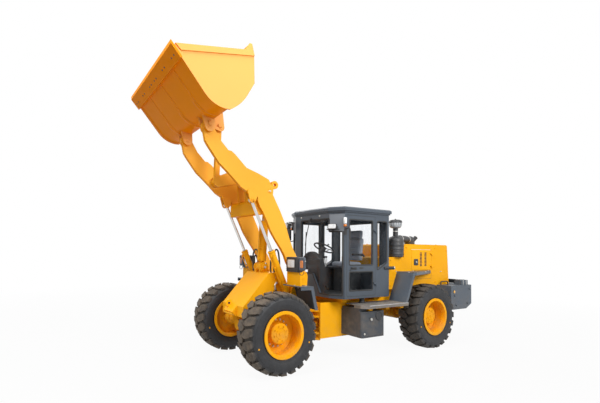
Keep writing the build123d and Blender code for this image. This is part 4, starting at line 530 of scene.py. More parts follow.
# ---------------------------------------------------------------- tyres
TYRE_R, HALF_TREAD, LUGS = 0.62, 0.167, 22
FRONT_X, REAR_X, TRACK_Y = 1.59, -2.0, 0.812
WHEELS = {f"wheel_{end}_{flank}": (x, y) for end, x in (("front", FRONT_X), ("rear", REAR_X))
          for flank, y in (("left", TRACK_Y), ("right", -TRACK_Y))}
tyre_finish = {FRONT_X: rubber("front_tyre_rubber", 0.62, FRONT_X),
    REAR_X: rubber("rear_tyre_rubber", 0.3, REAR_X)}


def crown(y):
    """Outer radius of the tread at a distance from its middle: flat to half way, then falling by 27 mm to the
    edge."""
    return TYRE_R - 0.001 - 0.027 * np.clip((np.abs(y) - HALF_TREAD / 2) / (HALF_TREAD / 2), 0, 1) ** 1.3


def tyre_parts(x, y, turn):
    """A carcass turned from bead to bead, and broad blocks standing on it. A block's middle line runs from
    the shoulder just over the middle of the tread, its half width follows a table along that line, and across
    it the section is a trapezium whose top follows the crown."""
    s = np.linspace(-1, 1, 41)
    groove = crown(s * HALF_TREAD) - 0.036
    tread = np.stack([groove, s * (HALF_TREAD + 0.004)], -1)
    wall = np.array([(0.545, 0.186), (0.525, 0.1925), (0.52, 0.1955), (0.5, 0.1972), (0.46, 0.1975),
        (0.445, 0.1965), (0.43, 0.193), (0.405, 0.187), (0.39, 0.183), (0.388, 0.18), (0.375, 0.178),
        (0.363, 0.173), (0.3595, 0.17), (0.3185, 0.17)])
    profile = np.concatenate([wall[::-1] * (1, -1), tread, wall, [(0.3185, 0.0)]])
    parts = [ring_of(profile, (x, y, TYRE_R), Y, 96)]
    base = np.arange(LUGS) * 2 * pi / LUGS + turn
    for side, offset in ((1, 0.0), (-1, pi / LUGS)):
        along = np.array([0, 0.06, 0.14, 0.3, 0.45, 0.6, 0.72, 0.86, 1.0])
        lane = side * (HALF_TREAD + 0.012 - along * (HALF_TREAD + 0.02))
        lean = 0.1 * along
        half = np.array([0.044, 0.055, 0.064, 0.065, 0.065, 0.064, 0.056, 0.038, 0.016]) / TYRE_R
        top = np.minimum(crown(lane), TYRE_R - 0.001)
        top[0] -= 0.01
        foot = crown(lane) - 0.044
        angle = ((base + offset)[:, None, None] + lean[None, :, None]
            + half[None, :, None] * np.array([-1.1, -1.0, 1.0, 1.1])[None, None, :])
        radius = np.stack([foot, top, top, foot], -1)[None] * np.ones((LUGS, 1, 1))
        wide = np.broadcast_to(lane[None, :, None], angle.shape)
        points = np.stack([x + radius * np.sin(angle), y + wide, TYRE_R + radius * np.cos(angle)], -1)
        parts += [outward(skin(block, round_columns=True, ends=True)) for block in points]
        cheek = np.array([(-1.15, 0.0), (-1.0, 1.0), (1.0, 1.0), (1.15, 0.0)])
        down = np.linspace(0, 1, 5)
        r = 0.594 - 0.066 * down
        out = 0.179 + 0.0105 * np.sin(down * pi / 2)
        half = (0.05 - 0.02 * down**2) / 0.6
        angle = ((base + offset)[:, None, None] - 0.01 * down[None, :, None]
            + half[None, :, None] * cheek[None, None, :, 0])
        lift = np.where(cheek[:, 1] > 0, 0.01, -0.014)[None, :] * (1 - 0.75 * down[:, None])
        wide = side * np.broadcast_to(np.minimum(out[:, None] + lift, 0.1976)[None], angle.shape)
        radius = np.broadcast_to(r[None, :, None], angle.shape)
        points = np.stack([x + radius * np.sin(angle), y + wide, TYRE_R + radius * np.cos(angle)], -1)
        parts += [outward(skin(block, round_columns=True, ends=True)) for block in points]
    return parts


def fit_tyres():
    """A tyre on each wheel, with a rim guard, a fine raised line and a few coloured spots on each wall."""
    for n, (body, (x, y)) in enumerate(WHEELS.items()):
        tyre = body.replace("wheel", "tyre")
        parts = tyre_parts(x, y, 0.07 * n)
        spots = []
        for side in (1, -1):
            for a in (1.9, 4.4):
                way = np.array([sin(a), 0, cos(a)])
                spots.append(turned([(0.013, -0.002), (0.013, 0.0012), (0.001, 0.0016)],
                    np.array([x, y + side * 0.1968, TYRE_R]) + way * 0.475, Y * side, 16))
        make(tyre + "_spots", spots, rim_paint, body)
        guard = [(0.4135, 0.187), (0.4175, 0.1915), (0.4255, 0.1935), (0.4275, 0.1895)]
        line = [(0.5075, 0.1955), (0.5085, 0.1978), (0.5115, 0.1978), (0.5125, 0.1955)]
        parts += [ring_of([(r, side * h) for r, h in raised], (x, y, TYRE_R), Y, 96)
            for side in (1, -1) for raised in (guard, line)]
        make(tyre + "_treaded", parts, tyre_finish[x], body, stands_for=tyre, smooth=30)


fit_tyres()


# ---------------------------------------------------------------- wheels
def fit_wheels():
    """Hub nuts on studs, planet cover bolts, the plug in the middle, the side ring's lip and the valve."""
    for body, (x, y) in WHEELS.items():
        side = 1 if y > 0 else -1
        axis = Y * side
        face = y - side * 0.055
        at = lambda off: (x, face + side * off, TYRE_R)
        nuts, yellow_bits = [], []
        for place in circle(at(0.042), 0.2005, 16, axis, 0.1):
            nuts += bolt(place - axis * 0.028, axis, 0.027, 0.03)
            nuts.append(turned([(0.008, 0.0), (0.008, 0.036), (0.0065, 0.038)], place - axis * 0.028, axis,
                10))
        drum = [(0.172, 0.0), (0.172, 0.012), (0.161, 0.02), (0.161, 0.108), (0.158, 0.122), (0.148, 0.132),
            (0.134, 0.1365), (0.086, 0.1385), (0.083, 0.134), (0.079, 0.134), (0.076, 0.1395), (0.03, 0.141),
            (0.026, 0.149), (0.001, 0.15)]
        yellow_bits.append(turned(drum, at(0.0), axis, 56))
        for place in circle(at(0.137), 0.112, 8, axis, 0.3):
            yellow_bits += bolt(place, axis, 0.014, 0.009)
        lip = [(0.342, 0.138), (0.3475, 0.146), (0.3475, 0.155), (0.342, 0.1605), (0.336, 0.155),
            (0.336, 0.146)]
        yellow_bits.append(ring_of(lip, at(0.085), axis, 72))
        for low in (0.05, 0.165):
            well = [(0.3045, low + 0.014), (0.299, low + 0.01), (0.299, low + 0.004), (0.3045, low)]
            yellow_bits.append(ring_of(well, at(0.0), axis, 72))
        make(body + "_cover_bolts", yellow_bits, rim_paint, body)
        make(body + "_nuts", nuts, zinc, body, smooth=25)
        rest = np.array(at(0.0))
        stem = rest + X * 0.285 + axis * 0.01
        make(body + "_valve", [
            pipe([stem, stem + axis * 0.03 + X * 0.004, stem + axis * 0.07 + X * 0.006], 0.0055, 10, 9),
            turned([(0.0075, 0), (0.0075, 0.014), (0.006, 0.018)], stem + axis * 0.068 + X * 0.006, axis, 10),
        ], plastic, body)


fit_wheels()


# ---------------------------------------------------------------- bucket
FLOOR_WAY = np.array([cos(radians(48.4)), 0, sin(radians(48.4))])
FLOOR_OUT = np.array([sin(radians(48.4)), 0, -cos(radians(48.4))])
HEEL = np.array([2.594, 0, 4.205])
FLOOR_START = np.array([2.9006, 0, 3.9328])
EDGE_REAR = np.array([3.2525, 0, 4.305])


def fit_bucket():
    """Wear bars bent round the heel and up the floor, plank bolts in pairs, welds at the lugs and along the
    side plates' foot."""
    turn = np.radians(np.linspace(-94, 48.4 - 90, 14))
    way = np.stack([np.cos(turn), np.zeros(14), np.sin(turn)], -1)
    bend = HEEL + 0.4145 * way
    straight = FLOOR_START + FLOOR_OUT * 0.0045 + FLOOR_WAY * np.linspace(0.05, 0.535, 6)[:, None]
    line, out = np.concatenate([bend, straight]), np.concatenate([way, np.repeat(FLOOR_OUT[None], 6, 0)])
    section = [(-0.035, -0.006), (-0.035, 0.003), (-0.031, 0.0055), (0.031, 0.0055), (0.035, 0.003),
        (0.035, -0.006)]
    bars = [bar(line + Y * y, section, out) for y in (-0.5, 0.06, 0.6)]
    make("bucket_wear_bars", bars, bucket_yellow_with_painted_light, "bucket")
    face, inside = EDGE_REAR + FLOOR_OUT * 0.032, EDGE_REAR - FLOOR_OUT * 0.036
    head = [(0.0125, -0.004), (0.0125, 0.0015), (0.0105, 0.003), (0.0055, 0.003), (0.0055, 0.0012),
        (0.001, 0.0012)]
    heads, nuts = [], []
    for y in (-0.88, -0.5, -0.12, 0.12, 0.5, 0.88):
        for s in (-0.045, 0.045):
            heads.append(turned(head, face + FLOOR_WAY * 0.085 + Y * (y + s), FLOOR_OUT, 18))
            nuts += bolt(inside + FLOOR_WAY * 0.085 + Y * (y + s), -FLOOR_OUT, 0.03, 0.018)
    make("cutting_edge_bolts", heads, cast, "bucket")
    make("cutting_edge_nuts", nuts, edge_paint, "bucket")
    welds = [pipe(FLOOR_START + FLOOR_OUT * 0.001 + Y * s * 0.9795
        + FLOOR_WAY * np.linspace(0.0, 0.44, 12)[:, None], 0.006, 8) for s in (1, -1)]
    welds.append(pipe(EDGE_REAR - FLOOR_WAY * 0.001 + Y * np.linspace(-0.975, 0.975, 24)[:, None], 0.006, 8))
    around = np.radians(np.linspace(-96, -66, 9))
    foot = HEEL + 0.411 * np.stack([np.cos(around), 0 * around, np.sin(around)], -1)
    for s in (-1, 1):
        for y in (0.343, 0.373, 0.487, 0.517):
            welds.append(pipe(foot + Y * s * y, 0.007, 8))
    rim = np.array([[2.182, 0, 4.612], [3.262, 0, 4.398]])
    for s in (-1, 1):
        welds.append(pipe(rim[0] + (rim[1] - rim[0]) * np.linspace(0, 1, 16)[:, None] + Y * s * 1.0005,
            0.005, 8))
    make("bucket_welds", welds, bucket_yellow_with_painted_light, "bucket")


fit_bucket()


# ---------------------------------------------------------------- pins
def keeper(at, side, turn, reach=0.06, wide=0.034):
    """A pin's keeper: a flat bar laid across its end, with one bolt, and a grease nipple in the middle of the
    pin."""
    axis = Y * side
    along = np.array([cos(turn), 0, sin(turn)])
    cross = np.cross(axis, along)
    at = np.asarray(at, float)
    parts = [slab(at + along * reach * 0.55 + axis * 0.004, (reach * 1.5, wide, 0.009), 0.008, 0.0015,
        (along, cross, axis))]
    parts += bolt(at + along * reach * 1.05 + axis * 0.008, axis, 0.017, 0.01)
    parts.append(turned([(0.006, 0), (0.006, 0.006), (0.0035, 0.009), (0.0045, 0.013), (0.002, 0.016)],
        at - along * reach * 0.05 + axis * 0.008, axis, 10))
    return parts


def fit_pins():
    """Keepers on the outer ends of every big pin."""
    for side, name in SIDES:
        make("boom_foot_keeper_" + name, keeper((0.874, side * 0.519, 1.42), side, 2.2, 0.075, 0.04)
            + keeper((1.069, side * 0.519, 1.05), side, -0.6, 0.06), yellow, "front_frame")
        make("bucket_pin_keeper_" + name, keeper((2.619, side * 0.525, 3.675), side, 1.3, 0.06), bucket_yellow_with_painted_light,
            "bucket")
        make("lift_pin_keeper_" + name, keeper((1.842, side * 0.494, 2.655), side, -2.0, 0.03, 0.03),
            arm_paint, "boom")
        bush = [(0.0262, -0.031), (0.036, -0.031), (0.036, 0.031), (0.0262, 0.031)]
        make("knee_bush_" + name, [ring_of(bush, (1.414, side * 0.43, 2.925), Y, 28)], arm_paint, "boom")
    both = keeper((1.714, 0.131, 3.11), 1, 1.2, 0.05) + keeper((1.714, -0.131, 3.11), -1, 1.2, 0.05)
    make("crank_pin_keepers", both, arm_paint, "boom")
    ends = keeper((2.224, 0.085, 3.845), 1, 0.4, 0.05) + keeper((2.224, -0.085, 3.845), -1, 0.4, 0.05)
    make("link_pin_keepers", ends, bucket_yellow_with_painted_light, "bucket")


fit_pins()


# ---------------------------------------------------------------- cylinders
def fit_cylinder(name, base, eye, length, tube_r, rod_r, aside, body):
    """Gland with a ring of bolts, wiper, port blocks and the hard line that runs back along the tube under
    two clamps."""
    base, eye = np.asarray(base, float), np.asarray(eye, float)
    along = (eye - base) / np.linalg.norm(eye - base)
    aside = np.asarray(aside, float) - np.dot(aside, along) * along
    aside /= np.linalg.norm(aside)
    other = np.cross(along, aside)
    end = base + along * length
    gland = [(rod_r + 0.0015, -0.014), (tube_r + 0.0085, -0.014), (tube_r + 0.0095, -0.012),
        (tube_r + 0.0095, 0.003), (tube_r + 0.007, 0.006), (rod_r + 0.014, 0.0075), (rod_r + 0.0015, 0.0075)]
    painted = [ring_of(gland, end, along, 40)]
    painted += bolts(circle(end + along * 0.005, (tube_r + rod_r) / 2 + 0.006, 8, along, 0.2), along,
        across=0.012, high=0.007, washer=False)
    near, far = base + along * (length * 0.16 + 0.02), end - along * 0.062
    for port in (near, far):
        painted.append(slab(port + aside * (tube_r + 0.006), (0.046, 0.046, 0.022), 0.006, 0.002,
            (along, other, aside)))
    off = tube_r + 0.024
    run = np.array([far + aside * (tube_r + 0.012), far + aside * off,
        far + aside * (off + 0.004) - along * 0.022, far + aside * (off + 0.004) - along * 0.06,
        near + aside * (off + 0.004) + along * 0.08, near + aside * (off + 0.004) + along * 0.04])
    line = smooth_line(run, 40)
    pipes = [pipe(line, 0.008, 12)]
    for share in (0.3, 0.68):
        spot = near + (far - near) * share
        pipes.append(slab(spot + aside * (off - 0.004), (0.026, 0.034, 0.026), 0.005, 0.002,
            (along, other, aside)))
        pipes.append(ring_of([(tube_r + 0.0005, -0.009), (tube_r + 0.0025, -0.009), (tube_r + 0.0025, 0.009),
            (tube_r + 0.0005, 0.009)], spot, along, 40))
    make(name + "_gland_and_line", painted + pipes, yellow, body)
    wiper = [(rod_r + 0.0008, 0.005), (rod_r + 0.011, 0.005), (rod_r + 0.009, 0.013),
        (rod_r + 0.0008, 0.0145)]
    make(name + "_wiper", [ring_of(wiper, end, along, 32)], seal_rubber, body)


for side, name in SIDES:
    fit_cylinder("lift_" + name, (1.069, side * 0.43, 1.05), (1.842, side * 0.43, 2.655), 0.88, 0.052, 0.025,
        (0.9, side * 0.25, -0.4), "lift_barrel_" + name)
    fit_cylinder("steering_" + name, (-0.15, side * 0.33, 0.56), (0.74, side * 0.27, 0.56), 0.56, 0.042,
        0.022, (0, 0, 1), "steering_barrel_" + name)
fit_cylinder("tilt", (1.369, 0, 1.57), (1.274, 0, 2.93), 0.79, 0.078, 0.038, (1.0, 0.55, 0), "tilt_barrel")


def hose(name, points, radius, count):
    """A hose of the front frame, held at both ends: one smooth tube with a swaged steel sleeve and a nut at
    each end."""
    line = smooth_line(points, count)
    make(name, [pipe(line, radius, 14)], hose_rubber, "front_frame")
    sleeve = [(radius * 1.0, -0.004), (radius * 1.25, -0.002), (radius * 1.25, 0.035), (radius * 1.05, 0.04)]
    nut = [(radius * 1.5, -0.022), (radius * 1.5, -0.002), (radius * 1.3, 0.0)]
    fittings = []
    for at, way in ((line[0], line[1] - line[0]), (line[-1], line[-2] - line[-1])):
        way = way / np.linalg.norm(way)
        fittings += [turned(sleeve, at, way, 16), turned(nut, at, way, 6)]
    make(name + "_fittings", fittings, fitting_steel, "front_frame")


# ---------------------------------------------------------------- hood and tail
# the hood's side, and the faint film on its doors that carries the louvres
HOOD_SIDE, LEAF_FACE = 0.6, 0.6005
LATCH = (-1.975, 1.66)


def fit_hood():
    """Two columns of louvres, square latch, lower panel with a fine dark line round it, cap nuts and the
    top's seam."""
    for side, name in SIDES:
        out, skin_y = Y * side, side * HOOD_SIDE
        leaf = "hood_door_" + name
        face = side * LEAF_FACE
        slots, lips = [], []
        # the dark slots are painted shade: flat dark slabs stand for the shaded openings under the louvre
        # lips
        for x in (-2.135, -2.285):
            for k in range(10):
                z = 1.585 + k * 0.029
                slots.append(slab((x, face, z), (0.066, 0.0185, 0.0024), 0.007, 0.0008, (X, Z, out)))
                lips.append(slab((x, face + side * 0.002, z + 0.011), (0.068, 0.0045, 0.0052), 0.002, 0.0016,
                    (X, Z, out)))
        make("louvre_slots_" + name, slots, seal_rubber, leaf)
        make("louvre_lips_" + name, lips, yellow, leaf)
        latch = [slab((LATCH[0], face + side * 0.004, LATCH[1]), (0.128, 0.128, 0.01), 0.012, 0.003,
            (X, Z, out))]
        make("hood_latch_" + name, latch, plastic, leaf)
        knob = [turned([(0.021, 0.0), (0.021, 0.01), (0.018, 0.014), (0.012, 0.015), (0.011, 0.011),
            (0.001, 0.011)], (LATCH[0], face + side * 0.008, LATCH[1]), out, 24)]
        make("hood_latch_key_" + name, knob, zinc, leaf)
        lines = []
        for z in (1.486, 1.318):
            lines.append(slab((-2.158, skin_y, z), (0.633, 0.004, 0.0016), 0.0015, 0.0005, (X, Z, out)))
        for x in (-1.843, -2.473):
            lines.append(slab((x, skin_y, 1.402), (0.004, 0.168, 0.0016), 0.0015, 0.0005, (X, Z, out)))
        lines.append(slab((-1.36, skin_y, 1.3), (0.4, 0.003, 0.0014), 0.001, 0.0004, (X, Z, out)))
        make("hood_panel_lines_" + name, lines, seal_rubber)
        caps = []
        for x, z in ((-1.2, 1.2), (-1.55, 1.2), (-2.6, 1.24), (-3.0, 1.3), (-3.0, 1.9), (-2.6, 1.95),
                (-1.68, 1.95), (-1.2, 1.7)):
            caps += bolt((x, skin_y, z), out, 0.019, 0.009)
        make("hood_bolts_" + name, caps, yellow, smooth=25)
    edge = [(-0.004, -0.002), (-0.004, 0.002), (0.004, 0.002), (0.004, -0.002)]
    seam = [bar(np.array([(-2.35, y, 2.0205) for y in np.linspace(-0.585, 0.585, 8)]), edge, Z)]
    make("hood_top_seam", seam, seal_rubber)
    eyes = []
    for x in (-1.72, -2.92):
        for y in (-0.42, 0.42):
            eyes += bolt((x, y, 2.02), Z, 0.024, 0.014)
    make("hood_top_bolts", eyes, yellow, smooth=25)


fit_hood()


def fit_tail():
    """Lamps on the weight's rear corners, bars in the grille, battery lids with a strap, tie bolts on the
    weight and side reflectors."""
    housings, glass_red, glass_clear, glass_amber, feet = [], [], [], [], []
    for side in (1, -1):
        at = np.array([-3.395, side * 0.46, 1.232])
        housings.append(slab(at, (0.3, 0.086, 0.06), 0.014, 0.006, FACING_BACK))
        for k, group in ((-0.09, glass_clear), (0.0, glass_red), (0.09, glass_amber)):
            group.append(slab(at + Y * side * k - X * 0.031, (0.078, 0.066, 0.008), 0.012, 0.003,
                FACING_BACK))
        feet += [slab(at + Y * k - Z * 0.045, (0.05, 0.03, 0.014), 0.004, 0.002) for k in (-0.1, 0.1)]
    make("tail_lamp_housings", housings + feet, black)
    for name, group, finish in (
        ("tail_lens_red", glass_red, lens_red), ("tail_lens_clear", glass_clear, lens_white),
        ("tail_lens_amber", glass_amber, lens_amber),
    ):
        make(name, group, finish)
    wires = [slab((-3.058 + (z - 1.18) * 0.0675, 0, z), (1.06, 0.052, 0.004), 0.01, 0.001, FACING_BACK)
        for z in np.linspace(1.235, 1.955, 7)]
    make("grille_mesh", wires, grille_mesh)
    lids, straps = [], []
    for side in (1, -1):
        box_y = side * 0.775
        lids.append(slab((-3.245, box_y, 1.2725), (0.236, 0.156, 0.018), 0.016, 0.005))
        lids.append(slab((-3.245, box_y, 1.2825), (0.15, 0.08, 0.008), 0.012, 0.003))
        for x in (-3.3, -3.19):
            flat = slab((x, box_y, 1.2835), (0.018, 0.158, 0.003), 0.001, 0.0008)
            hang = slab((x, side * 0.8525, 1.232), (0.018, 0.104, 0.003), 0.001, 0.0008, (X, Z, Y * side))
            straps += [flat, hang]
    make("battery_lids", lids, grey_plate)
    make("battery_straps", straps, zinc)
    ties, handles = [], []
    for side in (1, -1):
        for x, z in ((-2.8, 0.98), (-3.25, 0.8), (-3.33, 1.1), (-2.85, 0.78)):
            ties += bolt((x, side * 0.9, z), Y * side, 0.03, 0.018)
        y = side * 0.655
        loop = [(-2.72, y, 1.178), (-2.722, y, 1.225), (-2.745, y, 1.247), (-2.84, y, 1.25),
            (-2.935, y, 1.247), (-2.958, y, 1.225), (-2.96, y, 1.178)]
        handles.append(pipe(smooth_line(loop, 60), 0.012, 12))
        handles += [turned([(0.024, 0.0), (0.024, 0.006), (0.015, 0.01)], (x, y, 1.179), Z, 20)
            for x in (-2.72, -2.96)]
    make("weight_bolts", ties, grey_plate, smooth=25)
    make("hood_handles", handles, black)
    dots, cups = [], []
    for side in (1, -1):
        spot = (-2.785, side * 0.9, 1.055)
        cups.append(turned([(0.036, -0.001), (0.036, 0.003), (0.032, 0.005), (0.001, 0.005)],
            spot, Y * side, 28))
        dots.append(turned([(0.029, 0.003), (0.029, 0.008), (0.024, 0.01), (0.001, 0.0105)],
            spot, Y * side, 28))
    make("side_reflector_cups", cups, plastic)
    make("side_reflectors", dots, reflector)


fit_tail()


# ---------------------------------------------------------------- air cleaner and exhaust
def fit_air_cleaner():
    """Barrel with a rounded foot, two broad belts and a domed shoulder, a clamp on the neck, a cloudy bowl
    under a dark lid, and a fat ribbed duct."""
    centre = np.array([-1.42, 0.55, 0.0])
    barrel = [(0.1, 1.7602), (0.128, 1.7622), (0.138, 1.772), (0.142, 1.79)]
    for low in (1.815, 1.865):
        barrel += [(0.1435, low), (0.147, low + 0.005), (0.147, low + 0.012), (0.1445, low + 0.018)]
    barrel += [(0.1455, 1.9), (0.153, 1.906), (0.1535, 1.935), (0.15, 1.942), (0.15, 1.975), (0.1535, 1.982),
        (0.1535, 2.008), (0.1505, 2.016)]
    dome = [(0.06 + 0.092 * cos(a) ** 0.7, 2.055 + 0.105 * sin(a)) for a in np.linspace(0.05, 1.5, 10)]
    barrel += dome + [(0.0475, 2.178), (0.0465, 2.33)]
    make("air_cleaner_barrel", [turned(barrel, centre, Z, 64)], duct_plastic,
        stands_for="air_cleaner")
    clamp = [(0.0475, 2.255), (0.0495, 2.257), (0.0495, 2.273), (0.0475, 2.275)]
    clamps = [ring_of(clamp, centre, Z, 40), slab(centre + (0.052, 0.0, 2.265), (0.02, 0.014, 0.012), 0.003,
        0.001)]
    make("air_cleaner_clamps", clamps, zinc)
    bowl = [(0.058, 2.326), (0.085, 2.334), (0.104, 2.35), (0.1135, 2.375), (0.1145, 2.41), (0.1135, 2.435),
        (0.108, 2.438)]
    make("precleaner_bowl", [turned(bowl, centre, Z, 56)], clear_bowl)
    lid = [(0.1, 2.434), (0.1225, 2.436), (0.1235, 2.442), (0.12, 2.462), (0.108, 2.48), (0.078, 2.492),
        (0.03, 2.497), (0.014, 2.497), (0.013, 2.508), (0.006, 2.512)]
    vanes = []
    for a in np.arange(16) * pi / 8:
        spoke = np.array([cos(a), sin(a), 0.0])
        vanes.append(slab(centre + spoke * 0.1135 + Z * 2.405, (0.004, 0.05, 0.006), 0.0015, 0.001,
            (np.cross(Z, spoke), Z, spoke)))
    make("precleaner_lid", [turned(lid, centre, Z, 56)] + vanes, plastic)
    duct = [(-1.5, 0.525, 2.105), (-1.6, 0.494, 2.125), (-1.78, 0.438, 2.125), (-1.96, 0.383, 2.125),
        (-2.06, 0.352, 2.118), (-2.115, 0.335, 2.09), (-2.13, 0.33, 2.022)]
    line = smooth_line(duct, 90)
    ripple = 0.066 + 0.0035 * np.cos(np.linspace(0, 2 * pi * 26, 90))
    make("intake_duct", [pipe(line, ripple, 32)], duct_plastic)
    housing = [(0.07, 2.0205), (0.086, 2.024), (0.09, 2.04), (0.09, 2.085), (0.094, 2.089), (0.094, 2.103),
        (0.09, 2.107), (0.088, 2.15), (0.074, 2.182), (0.036, 2.196), (0.001, 2.198)]
    make("intake_elbow_housing", [turned(housing, (-2.13, 0.33, 0.0), Z, 48)], duct_plastic)
    joint = [(0.0705, -0.012), (0.0745, -0.01), (0.0745, 0.01), (0.0705, 0.012)]
    make("duct_clamps", [ring_of(joint, at, (-0.955, -0.296, 0), 40)
        for at in ((-1.64, 0.481, 2.125), (-2.02, 0.364, 2.122))], zinc)
    lip = [(0.0352, -0.004), (0.0425, -0.004), (0.044, 0.0), (0.0425, 0.004), (0.0352, 0.004)]
    blown = np.array([-0.8, 0, 0.6])
    tip = np.array([-2.29, 0.3, 2.095]) + 0.128 * blown
    make("exhaust_lip", [ring_of(lip, tip, blown, 36),
        ring_of([(0.0405, -0.006), (0.045, -0.006), (0.045, 0.006), (0.0405, 0.006)], (-2.29, 0.3, 2.06), Z,
        36)], exhaust_steel)


fit_air_cleaner()


# ---------------------------------------------------------------- cab
def bent_line(corners, radius=0.02, count=5):
    """A closed line through corners, each cut by a quadratic curve between points a radius along its two
    edges."""
    c = np.asarray(corners, float)
    before, after = np.roll(c, 1, 0) - c, np.roll(c, -1, 0) - c
    before /= np.linalg.norm(before, axis=1)[:, None]
    after /= np.linalg.norm(after, axis=1)[:, None]
    t = np.linspace(0, 1, count)[None, :, None]
    start, end = (c + before * radius)[:, None], (c + after * radius)[:, None]
    curve = (1 - t) ** 2 * start + 2 * t * (1 - t) * c[:, None] + t**2 * end
    return curve.reshape(-1, c.shape[1])


def window_line(corners, plane_x, plane_z, origin, radius):
    """A closed line round a window, its corners given in the window's own plane."""
    flat = bent_line(corners, radius, 6)
    return (np.asarray(origin, float) + flat[:, :1] * np.asarray(plane_x, float)
        + flat[:, 1:] * np.asarray(plane_z, float))


def seal(corners, plane_x, plane_z, origin, out, radius=0.03):
    """A rubber strip round a window, lying on its edge."""
    line = window_line(corners, plane_x, plane_z, origin, radius)
    return bar(line, [(-0.012, -0.006), (-0.012, 0.002), (-0.008, 0.0045), (0.008, 0.0045), (0.012, 0.002),
        (0.012, -0.006)], out, closed=True)


def box_corners(left, right, low, high):
    """A rectangle's corners in a window's plane."""
    return [(left, low), (right, low), (right, high), (left, high)]


FACET_OUT = np.array([0.887217, 0.461353, 0.0])      # out of the cab's slanted left corner
FACET_WAY = np.array([-0.461353, 0.887217, 0.0])     # along it, away from the middle
FACING_FACET = (FACET_WAY, Z, FACET_OUT)
RIVET = [(0.01, -0.001), (0.01, 0.002), (0.007, 0.005), (0.001, 0.0065)]


CAB_SIDE, CAB_FRONT, CAB_REAR = 0.72, 0.244, -1.016
CORNER_SILL, CORNER_HEAD, GLASS_HEAD = 1.092, 2.206, 2.44
ROOF_EDGE_Z = 2.592


